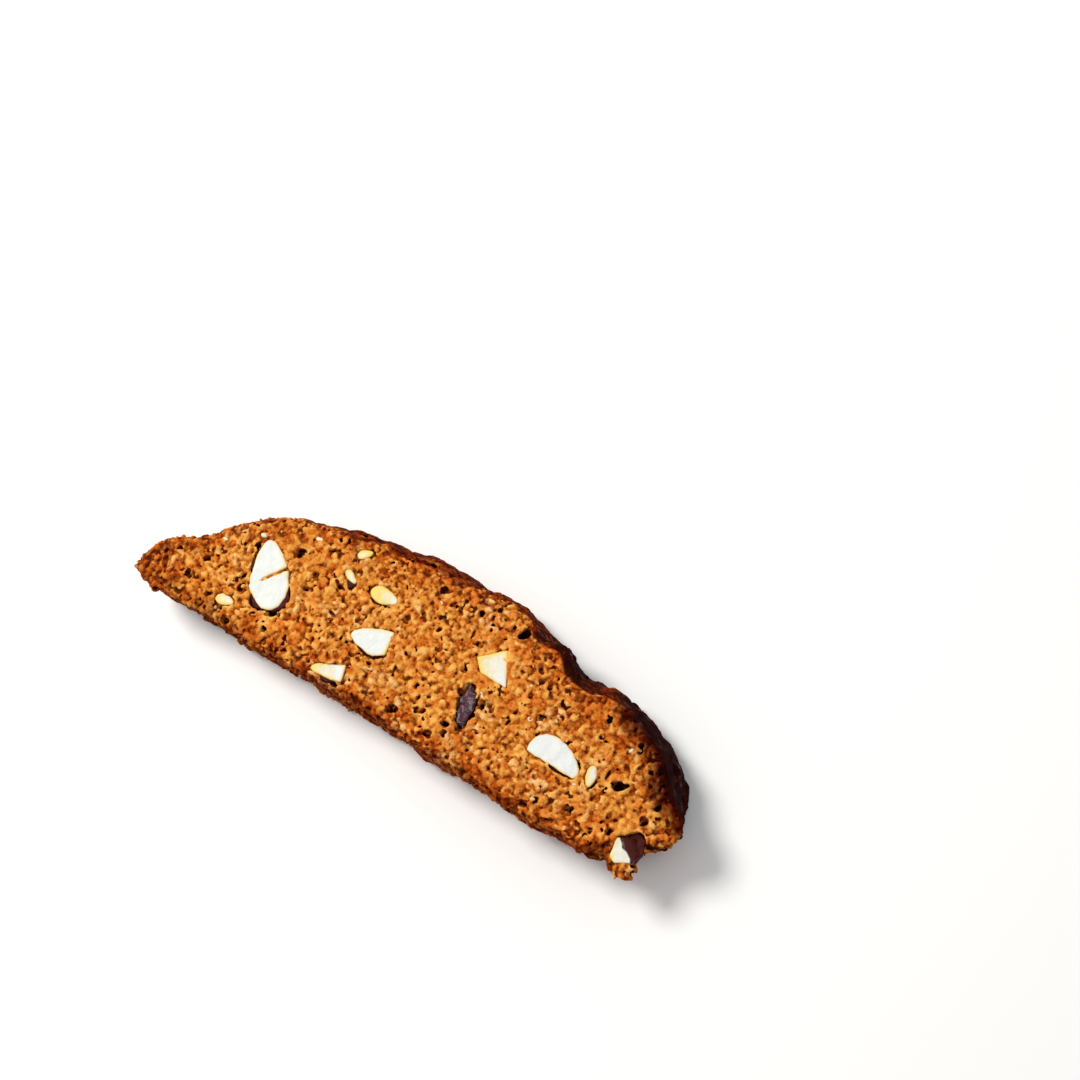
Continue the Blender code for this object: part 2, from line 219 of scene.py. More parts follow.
class Block:
    """A block of cells round something. Cell (i, j, k) is at (first + (i, j, k)) * cell, in mm."""

    def __init__(self, low, high, cell):
        self.cell = cell
        self.first = np.floor(np.array(low) / cell).astype(int)
        self.shape = tuple(int(n) for n in np.ceil(np.array(high) / cell).astype(int) - self.first + 1)

    def places(self):
        """The x, y and z of the cells, shaped so that together they spread over the block."""
        axes = []
        for number, count in enumerate(self.shape):
            shape = [1, 1, 1]
            shape[number] = count
            along = (self.first[number] + np.arange(count)) * self.cell
            axes.append(along.astype(np.float32).reshape(shape))
        return axes

    def distances(self, points, triangles, reach):
        """Distance to closed surfaces: negative inside, and worked out as far as reach."""
        grid = vdb.FloatGrid.createLevelSetFromPolygons(
            points,
            triangles=triangles,
            transform=vdb.createLinearTransform(voxelSize=self.cell),
            halfWidth=reach / self.cell,
        )
        values = np.empty(self.shape, np.float32)
        grid.copyToArray(values, ijk=tuple(int(n) for n in self.first))
        return values

    def layer(self, values, level):
        """The one layer of values at a level."""
        number = int(np.argmin(np.abs(self.places()[2].ravel() - level)))
        return values[:, :, number : number + 1]

    def noise(self, grain, rng):
        """Smooth noise with lumps about one grain across, and a spread of 1."""
        knot = grain / 2
        values = rng.standard_normal([int(n * self.cell / knot) + 4 for n in self.shape])
        values = values.astype(np.float32)
        for axis, count in enumerate(self.shape):
            place = np.arange(count) * self.cell / knot + 1
            base = place.astype(int)
            t = (place - base).astype(np.float32)
            weights = (
                (1 - t) ** 3 / 6,
                (3 * t**3 - 6 * t**2 + 4) / 6,
                (-3 * t**3 + 3 * t**2 + 3 * t + 1) / 6,
                t**3 / 6,
            )
            shape = [1, 1, 1]
            shape[axis] = count
            values = sum(
                weight.reshape(shape) * np.take(values, base + step - 1, axis)
                for step, weight in enumerate(weights)
            )
        return values / values.std()

    def blurred(self, values, reach):
        """Values averaged over a cube that reaches so many cells each way."""
        for axis in range(3):
            ends = [(0, 0)] * 3
            ends[axis] = (reach + 1, reach)
            total = np.cumsum(np.pad(values, ends, "edge"), axis, dtype=np.float64)
            count = self.shape[axis]
            width = 2 * reach + 1
            upper = np.take(total, np.arange(width, width + count), axis)
            lower = np.take(total, np.arange(count), axis)
            values = ((upper - lower) / width).astype(np.float32)
        return values

    def sample(self, values, points):
        """Values at points, by linear interpolation."""
        place = points / self.cell - self.first
        base = np.clip(np.floor(place).astype(int), 0, np.array(self.shape) - 2)
        t = place - base
        total = np.zeros(len(points))
        for corner in itertools.product((0, 1), repeat=3):
            weight = np.prod(np.where(corner, t, 1 - t), axis=1)
            total += weight * values[tuple((base + corner).T)]
        return total

    def surface(self, values):
        """The points (mm) and four-cornered faces where values cross zero, facing out."""
        grid = vdb.FloatGrid(REACH)
        grid.copyFromArray(np.ascontiguousarray(values), ijk=tuple(int(n) for n in self.first))
        grid.transform = vdb.createLinearTransform(voxelSize=self.cell)
        points, quads = grid.convertToQuads()
        quads = quads.astype(np.int64)
        corners = points[quads].astype(np.float64)
        across = np.cross(corners[:, 2] - corners[:, 0], corners[:, 3] - corners[:, 1])
        if (across * corners.mean(axis=1)).sum() < 0:  # a negative volume is a surface inside out
            quads = quads[:, ::-1]
        return points.astype(np.float64), quads

    def stamp(self, values, centre, sizes, turn, blend, add):
        """Adds an ellipsoid to a shape, or carves it out, with a soft join."""
        reach = max(sizes) + blend + self.cell
        low = np.floor((centre - reach) / self.cell).astype(int) - self.first
        high = np.ceil((centre + reach) / self.cell).astype(int) - self.first + 1
        low, high = np.maximum(low, 0), np.minimum(high, self.shape)
        if (low >= high).any():
            return
        window = tuple(slice(a, b) for a, b in zip(low, high))
        offsets = [(self.first[n] + np.arange(low[n], high[n])) * self.cell - centre[n] for n in range(3)]
        grid = np.stack(np.meshgrid(*offsets, indexing="ij"), axis=-1) @ (turn / sizes)
        ball = (np.sqrt((grid * grid).sum(axis=-1)) - 1) * min(sizes)
        old = values[window]
        new = ball if add else -ball
        sign = 1 if add else -1
        share = np.clip(0.5 + 0.5 * sign * (new - old) / blend, 0, 1)
        values[window] = new + share * (old - new) - sign * blend * share * (1 - share)


def surface_of(names):
    """The corner points (mm) and triangles of some CAD nodes."""
    points, triangles, count = [], [], 0
    for name in names:
        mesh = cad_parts[name].data
        mesh.calc_loop_triangles()
        corners = np.empty(len(mesh.vertices) * 3, np.float32)
        mesh.vertices.foreach_get("co", corners)
        faces = np.empty(len(mesh.loop_triangles) * 3, np.int32)
        mesh.loop_triangles.foreach_get("vertices", faces)
        points.append(corners.reshape(-1, 3) / MM)
        triangles.append(faces.reshape(-1, 3) + count)
        count += len(mesh.vertices)
    return np.concatenate(points).astype(np.float32), np.concatenate(triangles).astype(np.uint32)


def biggest_part(points, faces):
    """Only the largest joined part of a surface, without loose bits and shut cavities."""
    label = np.arange(len(points))
    starts, ends = faces.ravel(), np.roll(faces, 1, axis=1).ravel()
    while True:
        low = np.minimum(label[starts], label[ends])
        before = label.copy()
        np.minimum.at(label, label[starts], low)
        np.minimum.at(label, label[ends], low)
        label = label[label]
        if (label == before).all():
            break
    biggest = np.bincount(label[faces[:, 0]]).argmax()
    kept = faces[label[faces[:, 0]] == biggest]
    used = np.unique(kept)
    place = np.zeros(len(points), np.int64)
    place[used] = np.arange(len(used))
    return points[used], place[kept]


def joined(surfaces):
    """The points and faces of several surfaces as one."""
    points, faces, count = [], [], 0
    for part, quads in surfaces:
        points.append(part)
        faces.append(quads + count)
        count += len(part)
    return np.concatenate(points), np.concatenate(faces)


def mesh_from(name, points, faces):
    mesh = bpy.data.meshes.new(name)
    mesh.from_pydata((points * MM).tolist(), [], faces.tolist())
    mesh.shade_smooth()
    return mesh


def add_piece(name, mesh, surface, slot, *nodes):
    """One finished piece that rides on the slice and stands for these CAD nodes."""
    mesh.name = name
    rest_on_floor(mesh)
    mesh.materials.clear()
    mesh.materials.append(surface)
    piece = bpy.data.objects.new(name, mesh)
    bpy.context.scene.collection.objects.link(piece)
    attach(piece, "root")
    if nodes:
        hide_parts(*nodes)
    return piece


def points_of(mesh):
    points = np.empty(len(mesh.vertices) * 3, np.float32)
    mesh.vertices.foreach_get("co", points)
    return points.reshape(-1, 3).astype(np.float64) / MM


def rest_on_floor(mesh):
    """Lifts the points that thinning left under the floor."""
    points = points_of(mesh) * MM
    points[:, 2] = np.maximum(points[:, 2], 0.0)
    mesh.vertices.foreach_set("co", points.astype(np.float32).ravel())
    mesh.update()


def write_mask(mesh, name, values):
    """A value for each point, which the materials read."""
    made = mesh.attributes.new(name, "FLOAT", "POINT")
    made.data.foreach_set("value", np.asarray(values, np.float32))


def thinned(mesh, most):
    """The mesh with at most so many triangles."""
    triangles = sum(len(face.vertices) - 2 for face in mesh.polygons)
    if triangles <= most:
        return mesh
    carrier = bpy.data.objects.new(mesh.name, mesh)
    bpy.context.scene.collection.objects.link(carrier)
    modifier = carrier.modifiers.new("Thin", "DECIMATE")
    modifier.ratio = most / triangles
    shown = carrier.evaluated_get(bpy.context.evaluated_depsgraph_get())
    made = bpy.data.meshes.new_from_object(shown)
    bpy.data.objects.remove(carrier)
    return made


def random_turn(rng):
    """A random turn as three unit axes."""
    axes, _ = np.linalg.qr(rng.standard_normal((3, 3)))
    return axes


def flat_turn(degrees):
    """A turn about the vertical as three unit axes."""
    across, along = math.cos(math.radians(degrees)), math.sin(math.radians(degrees))
    return np.array([[across, -along, 0], [along, across, 0], [0, 0, 1]])


# The slice's outline


def wall_ring():
    """The CAD wall's points at its cleanest level, in order round the slice."""
    points, _ = surface_of(["slice"])
    level = points[np.abs(points[:, 2] - CLEAN_LEVEL) < LEVEL_TOLERANCE][:, :2]
    left = [tuple(p) for p in np.unique(np.round(level, 3), axis=0)]
    ring = [left.pop(0)]
    while left:
        after = min(left, key=lambda p: math.dist(p, ring[-1]))
        left.remove(after)
        ring.append(after)
    return np.array(ring)


def outline_at(level, ring):
    """The wall's outline at a level: the CAD point there that is nearest to each point of the ring."""
    points, _ = surface_of(["slice"])
    near = points[np.abs(points[:, 2] - level) < LEVEL_TOLERANCE][:, :2]
    return np.array([near[np.argmin(((near - p) ** 2).sum(axis=1))] for p in ring])


def inward(outline, x, y):
    """Distance in from a closed outline, negative outside it."""
    nearest = np.full(np.broadcast(x, y).shape, np.inf)
    inside = np.zeros(nearest.shape, bool)
    for start, end in zip(outline, np.roll(outline, -1, axis=0)):
        side = end - start
        length = (side * side).sum()
        if not length:
            continue
        along = np.clip(((x - start[0]) * side[0] + (y - start[1]) * side[1]) / length, 0, 1)
        away = (x - start[0] - along * side[0]) ** 2 + (y - start[1] - along * side[1]) ** 2
        nearest = np.minimum(nearest, away)
        crosses = (start[1] > y) != (end[1] > y)
        if side[1]:
            crosses = crosses & (x < start[0] + side[0] * (y - start[1]) / side[1])
            inside ^= crosses
    return np.where(inside, 1, -1) * np.sqrt(nearest)


# The baked slice

# The crumb fills up the CAD's pockets round the almonds and the fruit. All in mm.
PLUG_GROWTH = 1.5  # how far past an almond it fills
PLUG_DIP = 0.5  # its floor under the cut faces
WALL_ROOM = 0.4
FRUIT_ROOM = 0.35
LAP_GROWTH, LAP_START, LAP_DIP = 0.15, 0.1, 0.6  # where it laps over the tilted almond

NOISE_SIZES = (2.8, 1.6, 0.85)  # of the clumps, grains and specks
WAVE_SIZES = (6.0, 2.4)  # of the crust's waves
LIP_UNEVENNESS = 0.35
LEAST_LOOSE = 0.3  # the share of the crumb's relief that shows on the crust
RELIEF_DEPTH = 1.1  # how far from the CAD surface the grains reach
GRAIN_SPACING = 1.15
GRAIN_WARP = 0.19  # in spacings
MOST_PROUD = 0.45  # the highest that crumb stands out of the upper cut face

PORE_DEPTH = 1.0  # under the surface, where pores are centred
PORE_SPREAD, LARGEST_PORE = 0.45, 1.9  # how unlike the pores are, and the largest, in middle radii
BUBBLE_SIZES = (0.5, 1.9)  # the least and most half size of a bubble, in its pore's radii
BUBBLES = (1, 4)  # in a pore, from the first to one less than the second
GRANULE_UNDER, GRANULE_OVER = 0.3, 0.1  # the layer that granules are centred in
GRANULE_SIZES = (0.2, 0.46)
GRANULE_SHAPE = (1.0, 0.8, 1.25)
PIT_HOLLOWS = (1.0, 0.55, 0.5)  # the sizes of a pit's three hollows
PIT_RAGGEDNESS = (0.17, 0.13)  # how far grains and specks stand out of its walls

# Dark pits and gaps in the upper cut face: place, size (mm) and turn (degrees)
Pit = namedtuple("Pit", "x height length width depth turn")
PITS = (
    Pit(46.6, 13.5, 3.3, 1.9, 2.4, 33),
    Pit(15.5, 28.9, 3.4, 2.3, 3.6, 75),
    Pit(-32.1, 19.4, 2.0, 1.5, 1.9, 33),
    Pit(54.7, 13.8, 3.6, 2.4, 1.6, 75),
    Pit(41.0, 4.9, 1.7, 1.1, 1.8, 33),
    Pit(49.6, 5.2, 1.6, 1.2, 1.8, 40),
    Pit(54.3, 9.7, 1.8, 1.0, 1.6, 80),
    Pit(38.7, 1.1, 2.0, 1.2, 1.3, 20),
    Pit(33.2, 1.0, 2.6, 1.2, 1.4, 5),
    Pit(6.6, 5.8, 2.2, 1.0, 1.6, 33),
    Pit(10.1, 2.7, 1.5, 1.1, 1.3, 0),
    Pit(12.8, 4.2, 1.6, 1.2, 1.4, 0),
    Pit(14.8, 7.3, 1.5, 1.0, 1.5, 30),
    Pit(12.0, 6.2, 2.0, 1.1, 1.7, 20),
    Pit(16.1, 12.7, 2.2, 1.1, 2.0, -62),
    Pit(0.4, 20.8, 1.6, 0.9, 1.4, 33),
    Pit(6.0, 27.8, 1.3, 1.0, 1.6, 100),
    Pit(-3.6, 22.0, 3.4, 1.4, 1.0, -50),
    Pit(9.1, 22.3, 1.7, 1.2, 1.3, 0),
    Pit(29.5, 20.6, 2.1, 1.2, 1.4, 20),
    Pit(22.8, 6.9, 1.5, 1.0, 1.2, 20),
    Pit(-26.9, 14.3, 1.4, 1.0, 1.2, 0),
    Pit(-24.6, 6.5, 1.4, 1.0, 1.2, 30),
    Pit(-20.8, 17.9, 1.7, 1.0, 1.3, -20),
    Pit(-21.7, 0.8, 1.8, 0.9, 1.1, 0),
    Pit(-11.3, 1.4, 2.0, 0.9, 1.2, 10),
    Pit(1.1, 2.8, 1.6, 1.0, 1.2, 20),
    Pit(-44.0, 0.4, 3.2, 0.9, 1.6, 51),
    Pit(-37.4, 0.7, 2.1, 1.4, 1.8, 10),
    Pit(-55.2, 4.6, 4.2, 1.0, 1.4, -62),
    Pit(-48.0, 9.1, 1.9, 1.4, 1.6, -60),
    Pit(-49.4, 4.6, 2.0, 1.0, 1.3, -60),
    Pit(-43.3, 3.4, 1.7, 1.2, 1.4, 20),
    Pit(-30.2, 6.8, 2.0, 1.6, 2.0, 10),
    Pit(-40.3, 16.2, 2.4, 0.9, 1.4, -70),
    Pit(22.0, 24.5, 2.0, 1.2, 1.2, -40),
    Pit(-10.6, 30.5, 3.4, 0.8, 1.2, 2),
    Pit(-7.4, 31.0, 2.0, 0.7, 1.0, 10),
)

# Beside the corner almond the wall falls in, and under it a nub of crumb hangs on: place, half size and
# softness of the join (mm)
NOTCHES = (((59.6, -13.0, 6.0), (4.4, 3.5, 16.0), 0.4), ((60.8, -12.2, 0.5), (6.9, 5.4, 10.0), 0.4))
NUB = ((54.6, -16.7, 12.9), (2.0, 1.25, 1.4), 0.3)

# The crust's border. A pair says where (mm) a change starts and where it is full, or for a hill its middle
# and its reach. Heights are over the loaf's base, and levels are over the floor.
DOME_HEIGHTS = (15.0, 21.0)
UPPER_LEVELS = (10.5, 13.0)
RIM_LEVELS = (12.4, 13.8)
CREST_LIP, CREST_START, CREST_END = 0.7, (-20.0, -12.0), (4.0, 0.0)
BLUNT_LIP, BLUNT_RIM, BLUNT_START = 0.4, 0.7, (30.0, 38.0)
SHOULDER_LIP, SHOULDER = 1.3, (25.0, 4.0)
THIN_TEAR, THIN_TEAR_START = 1.1, (-20.0, -32.0)
CREST_TEAR, CREST_TEAR_X, CREST_TEAR_HEIGHT = 2.4, (9.5, 5.0), (31.5, 3.0)
BLUNT_LUMP, BLUNT_LUMP_X, BLUNT_LUMP_HEIGHT = 1.6, (59.0, 3.2), (9.0, 3.6)
NUB_LUMP, NUB_LUMP_X, NUB_LUMP_HEIGHT = 3.2, (54.2, 2.2), (-0.3, 1.8)


def depth_from_wall(block):
    """How far in from the side wall each cell is."""
    x, y, z = block.places()
    ring = wall_ring()
    layers = [inward(outline_at(level, ring), x[:, :, 0], y[:, :, 0]) for level in RING_LEVELS]
    depth = np.empty(block.shape, np.float32)
    for number, level in enumerate(z.ravel()):
        place = float(np.interp(level, RING_LEVELS, range(len(RING_LEVELS))))
        under = min(int(place), len(RING_LEVELS) - 2)
        share = place - under
        depth[:, :, number] = (1 - share) * layers[under] + share * layers[under + 1]
    return depth


def crust_lip(x, height, z):
    """How far (mm) the dome's crust rolls over onto the cut faces. Less than 0 is crumb over the rim."""
    crest = CREST_LIP * smooth_step(*CREST_START, x) * smooth_step(*CREST_END, x)
    blunt = (BLUNT_LIP - BLUNT_RIM * smooth_step(*RIM_LEVELS, z)) * smooth_step(*BLUNT_START, x)
    blunt = blunt + SHOULDER_LIP * hill(x, *SHOULDER)
    torn = THIN_TEAR * smooth_step(*THIN_TEAR_START, x)
    torn = torn + CREST_TEAR * hill(x, *CREST_TEAR_X) * hill(height, *CREST_TEAR_HEIGHT)
    lump = BLUNT_LUMP * hill(x, *BLUNT_LUMP_X) * hill(height, *BLUNT_LUMP_HEIGHT)
    lump = lump + NUB_LUMP * hill(x, *NUB_LUMP_X) * hill(height, *NUB_LUMP_HEIGHT)
    dome, upper = smooth_step(*DOME_HEIGHTS, height), smooth_step(*UPPER_LEVELS, z)
    return dome * (crest + blunt) - upper * torn - lump


def cell_grains(block, cells, spacing, warp, rng):
    """Rounded grains: each cell's distance from the middle of its grain, in spacings, and two random
    numbers from 0 to 1 that all cells of a grain share."""
    counts = [int(n * block.cell / spacing) + 4 for n in block.shape]
    middles = rng.random((*counts, 3)).astype(np.float32)
    marks = rng.random((*counts, 2)).astype(np.float32)
    place = np.stack(np.unravel_index(cells, block.shape), axis=1) * (block.cell / spacing) + 1.5 + warp
    place = np.clip(place, 1.01, np.array(counts) - 2.01).astype(np.float32)
    base = place.astype(int)
    nearest = np.full(len(cells), 9.0, np.float32)
    chosen = np.zeros((len(cells), 2), np.float32)
    for step in itertools.product((-1, 0, 1), repeat=3):
        around = base + step
        index = tuple(around.T)
        away = ((place - around - middles[index]) ** 2).sum(axis=1)
        closer = away < nearest
        nearest[closer] = away[closer]
        chosen[closer] = marks[index][closer]
    return np.sqrt(nearest), chosen[:, 0], chosen[:, 1]


def scatter(block, allowed, density, rng):
    """Random places in the allowed cells: so many in each cubic mm."""
    cells = np.flatnonzero(allowed)
    count = int(density * len(cells) * block.cell**3)
    picked = rng.choice(cells, count, replace=False)
    place = np.stack(np.unravel_index(picked, block.shape), axis=1) + rng.random((count, 3)) - 0.5
    return (block.first + place) * block.cell


def filled_slice(block, depth_in):
    """The CAD slice closed up round what it holds, and the distance from the almonds and the fruit."""
    x, y, z = block.places()
    nuts = block.distances(*surface_of([*ALMONDS, FRUIT]), REACH)
    corner = block.distances(*surface_of([TILTED]), REACH)
    nuts = np.where(corner < REACH / 2, np.maximum(nuts, lapped(x, y)), nuts)
    plug = np.maximum(nuts - PLUG_GROWTH, np.maximum(z - (THICKNESS - PLUG_DIP), PLUG_DIP - z))
    plug = np.maximum(plug, WALL_ROOM - depth_in)
    plug = np.maximum(plug, FRUIT_ROOM - block.distances(*surface_of([FRUIT]), REACH))
    solid = np.minimum(block.distances(*surface_of(["slice"]), REACH), plug)
    lap = np.maximum(LAP_START - lapped(x, y), z - (THICKNESS - LAP_DIP))
    solid = np.minimum(solid, np.maximum(corner - LAP_GROWTH, lap))
    for place, sizes, blend in NOTCHES:
        block.stamp(solid, np.array(place), np.array(sizes), np.eye(3), blend, add=False)
    place, sizes, blend = NUB
    block.stamp(solid, np.array(place), np.array(sizes), np.eye(3), blend, add=True)
    return solid, nuts


# What the slice's relief and colours are worked out from. Solid is the smooth slice, nuts and depth_in are
# distances from the almonds and from the wall, and clumps, grains and specks are noise from coarse to fine.
# Cut, base and loose are 1 on the torn crumb, on the flat base and where the relief is full.
Dough = namedtuple("Dough", "block solid nuts depth_in clumps grains specks lip cut base loose")


def mixed_dough(cell, rng):
    """The dough of the slice on a block of cells."""
    low, high = box_of("slice")
    block = Block(low - SLICE_ROOM, high + SLICE_ROOM, cell)
    x, y, z = block.places()
    depth_in = depth_from_wall(block)
    solid, nuts = filled_slice(block, depth_in)
    clumps, grains, specks = (block.noise(size, rng) for size in NOISE_SIZES)
    lip = crust_lip(x, y - BASE_Y, z) * (1 + LIP_UNEVENNESS * clumps)
    cut = smooth_step(0.1, 1.2, depth_in - lip + 0.4 * clumps)
    base = (1 - cut) * smooth_step(BASE_Y + 4.0, BASE_Y + 2.0, y)
    loose = np.clip(cut + 0.9 * base, LEAST_LOOSE, 1.0)
    return Dough(block, solid, nuts, depth_in, clumps, grains, specks, lip, cut, base, loose)


def raised_grains(dough, crumb, crust, rng):
    """The slice with its clumps, grains and waves of crust, and the masks that follow its grains."""
    block, clumps, grains, specks = dough.block, dough.clumps, dough.grains, dough.specks
    away = smooth_step(-0.3, 0.3, dough.nuts)
    relief = 0.9 * clumps - 0.7 * (np.abs(grains) - 0.8) - 0.5 * (np.abs(specks) - 0.8)
    relief = crumb.clump_height / MM * relief
    near = np.flatnonzero(np.abs(dough.solid) < RELIEF_DEPTH)
    warp = np.stack([noise.ravel()[near] for noise in (clumps, grains, specks)], axis=1) * GRAIN_WARP
    from_middle, tone, hue = cell_grains(block, near, GRAIN_SPACING, warp, rng)
    unevenness = np.clip(0.95 + 0.3 * block.noise(5.0, rng).ravel()[near], 0.45, 1.5)
    domes = crumb.grain_height / MM * (1.9 * from_middle**1.3 - 0.95 - 1.0 * (tone - 0.5))
    relief.ravel()[near] += unevenness * domes
    broad, narrow = (block.noise(size, rng) for size in WAVE_SIZES)
    waves = crust.wrinkle / MM * (broad + 0.5 * narrow)
    field = dough.solid.copy()
    field += dough.loose * away * relief + (1 - dough.cut) * waves
    masks = {}
    # The first mask paints shade in the creases between grains; tone and hue vary the grains at random
    for name, values in (("crease_shade", from_middle), ("tone", tone), ("hue", hue)):
        masks[name] = np.full(block.shape, 0.5, np.float32)
        masks[name].ravel()[near] = values
    return field, masks


def open_pores(dough, field, crumb, rng):
    """Carves the open pores, each of one to three bubbles side by side."""
    solid = dough.solid
    near = (solid > -PORE_DEPTH) & (solid < 0.05) & (dough.nuts > 0.3) & (dough.clumps > -1.3)
    radius = crumb.pore_radius / MM
    for centre in scatter(dough.block, near & (dough.loose > 0.5), crumb.pores, rng):
        size = radius * min(math.exp(PORE_SPREAD * rng.standard_normal()), LARGEST_PORE)
        for _ in range(rng.integers(*BUBBLES)):
            sizes = size * rng.uniform(*BUBBLE_SIZES, 3)
            dough.block.stamp(field, centre, sizes, random_turn(rng), 0.1, add=False)
            centre = centre + rng.normal(0.0, 1.2 * size, 3)


def strew_granules(dough, field, crumb, rng):
    """Adds the small crumbs that stand on the cut faces."""
    near = (dough.solid > -GRANULE_UNDER) & (dough.solid < GRANULE_OVER) & (dough.nuts > 0.35)
    density = crumb.granules / (GRANULE_UNDER + GRANULE_OVER)
    for centre in scatter(dough.block, near & (dough.loose > 0.5), density, rng):
        sizes = rng.uniform(*GRANULE_SIZES) * np.array(GRANULE_SHAPE)
        dough.block.stamp(field, centre, sizes, random_turn(rng), 0.12, add=True)


def carve_pits(dough, field, rng):
    """Carves the larger pits, each of three hollows with ragged walls."""
    before = field.copy()
    for pit in PITS:
        centre = np.array([pit.x, BASE_Y + pit.height, THICKNESS - 0.1])
        for share in PIT_HOLLOWS:
            sizes = np.array([pit.length / 2, pit.width / 2, pit.depth]) * share
            dough.block.stamp(field, centre, sizes, flat_turn(pit.turn), 0.2, add=False)
            centre = centre + rng.normal(0.0, 0.3, 3) * np.array([pit.length, pit.width, 0.0])
    ragged = PIT_RAGGEDNESS[0] * dough.grains + PIT_RAGGEDNESS[1] * dough.specks
    field += smooth_step(0.0, 0.3, field - before) * ragged


def browning(dough):
    """The masks for how far the oven browned the crumb and crust, and for painted shade deep in the pits.

    Steps and hills are in mm: along the slice for x, up from its base for height, and in from its wall.
    """
    x, y, z = dough.block.places()
    clumps, depth_in, height = dough.clumps, dough.depth_in, y - BASE_Y
    dark_end = smooth_step(12.0, 21.0, x + 2.5 * clumps)
    bare = 0.85 * hill(x + clumps, 34.5, 4.5) * smooth_step(3.0, 8.0, z)
    dark_end = dark_end * (1 - bare) * (1 - dough.cut) * (1 - dough.base)
    toast_reach = 2.4 + 1.8 * smooth_step(20.0, 50.0, x) * smooth_step(12.0, 18.0, height)
    toast = np.exp(-np.maximum(depth_in - 0.6 * dough.lip + 0.5 * clumps, 0) / toast_reach)
    blunt_end = smooth_step(35.5, 41.0, x + clumps) * smooth_step(9.0, 13.0, height + clumps)
    scorch_reach = 4.6 + 1.6 * hill(x, 56.0, 3.0) * hill(height, 15.0, 2.5)
    scorch = blunt_end * smooth_step(scorch_reach, 0.7, depth_in + 0.35 * clumps + 0.2 * dough.grains)
    thin_rim = smooth_step(-26.0, -36.0, x) * smooth_step(3.4, 0.8, height + 0.6 * clumps)
    return {
        "crust": 1 - dough.cut,
        "base": dough.base + 0 * z,
        "toast": np.maximum(toast, smooth_step(-48.0, -58.0, x + 2.0 * clumps)),
        # Near-black crust at the blunt end: thick dark crust, and also painted shade
        "dark_end": dark_end * smooth_step(3.2, 1.2, depth_in + 0.4 * clumps),
        "scorch": np.maximum(scorch, 0.25 * thin_rim),
        # Painted shade deep in the pits, well under the cut faces and in from the wall
        "pit_shade": smooth_step(0.7, 1.9, np.minimum(z, THICKNESS - z)) * smooth_step(0.6, 1.4, depth_in),
    }


def bake_slice(crumb, crust):
    """The slice's shape on a block of cells, and the masks that its material reads."""
    rng = np.random.default_rng(SEED)
    dough = mixed_dough(crumb.cell / MM, rng)
    field, masks = raised_grains(dough, crumb, crust, rng)
    open_pores(dough, field, crumb, rng)
    strew_granules(dough, field, crumb, rng)
    carve_pits(dough, field, rng)
    for skin in SKINS:
        carve_beside(dough.block, field, skin, rng)
    carve_back(dough.block, field)
    z = dough.block.places()[2]
    field = np.maximum(field, np.maximum(-z, z - THICKNESS - MOST_PROUD))
    # Painted light and shade: the more crumb lies round a place, the darker it is painted, so hollows and
    # pores darken and raised grains pale
    masks["hollow_shade"] = dough.block.blurred(smooth_step(0.15, -0.15, field), round(0.75 / dough.block.cell))
    masks.update(browning(dough))
    return dough.block, field, masks


def split_mesh(mesh, level):
    """The parts of a mesh above and below a level (m), each closed where they meet."""
    halves = []
    for above in (True, False):
        bm = bmesh.new()
        bm.from_mesh(mesh)
        bmesh.ops.bisect_plane(
            bm,
            geom=[*bm.verts, *bm.edges, *bm.faces],
            dist=1e-7,
            plane_co=(0, 0, level),
            plane_no=(0, 0, 1),
            clear_inner=above,
            clear_outer=not above,
        )
        ends = [edge for edge in bm.edges if edge.is_boundary]
        for edge in ends:
            edge.smooth = False
        bmesh.ops.holes_fill(bm, edges=ends, sides=0)
        half = bpy.data.meshes.new(mesh.name)
        bm.to_mesh(half)
        bm.free()
        halves.append(half)
    return halves


def level_for(mesh):
    """The level (m) that has as many triangles above it as under it."""
    centres = np.empty(len(mesh.polygons) * 3, np.float32)
    mesh.polygons.foreach_get("center", centres)
    return float(np.median(centres[2::3]))


class BISCOTTO_OT_bake_slice(bpy.types.Operator):
    """Makes the slice's torn crumb and its crust"""

    bl_idname = "biscotto.bake_slice"
    bl_label = "Bake Slice"

    def execute(self, context):
        settings = context.scene.biscotto
        block, field, masks = bake_slice(settings.crumb, settings.crust)
        points, faces = biggest_part(*block.surface(field))
        whole = thinned(mesh_from("slice_surface", points, faces), 2 * PIECE_TRIANGLES)
        surface = crumb_material(settings.crumb, settings.crust)
        names = ("crumb_upper_half", "crumb_lower_half")
        for name, half in zip(names, split_mesh(whole, level_for(whole))):
            for title, values in masks.items():
                write_mask(half, title, block.sample(values, points_of(half)))
            add_piece(name, half, surface, "baked_crumb", "slice")
        return {"FINISHED"}


# Almonds

# The split kernel: its two pieces still hold together where the crack ends. Place and amounts in mm
CRACKED = ("almond_long_far", "almond_long_near")
CRACK_END = (-36.8, -7.2)
CRACK_REACH = (2.4, 0.9)
CRACK_CLOSING = 0.32
CRACKED_GROWTH = 0.08


def nut_shape(name, cell, rng):
    """A CAD almond on a finer block, its edges eased and its faces a little uneven."""
    low, high = box_of(name)
    block = Block(low - ROOM, high + ROOM, cell)
    plain = block.distances(*surface_of([name]), 1.2)
    x, y, z = block.places()
    if name in CRACKED:
        from_end = np.sqrt((x - CRACK_END[0]) ** 2 + (y - CRACK_END[1]) ** 2)
        closed = plain - CRACKED_GROWTH - CRACK_CLOSING * smooth_step(*CRACK_REACH, from_end)
        plain = np.maximum(closed, z - high[2])
    field = block.blurred(plain, 1) + 0.05 * block.noise(2.2, rng) + 0.02 * block.noise(0.7, rng)
    field = np.maximum(field, z - top_level(name, high[2], x, y))
    if name == TILTED:
        field = np.maximum(field, lapped(x, y))
    return block, plain, field


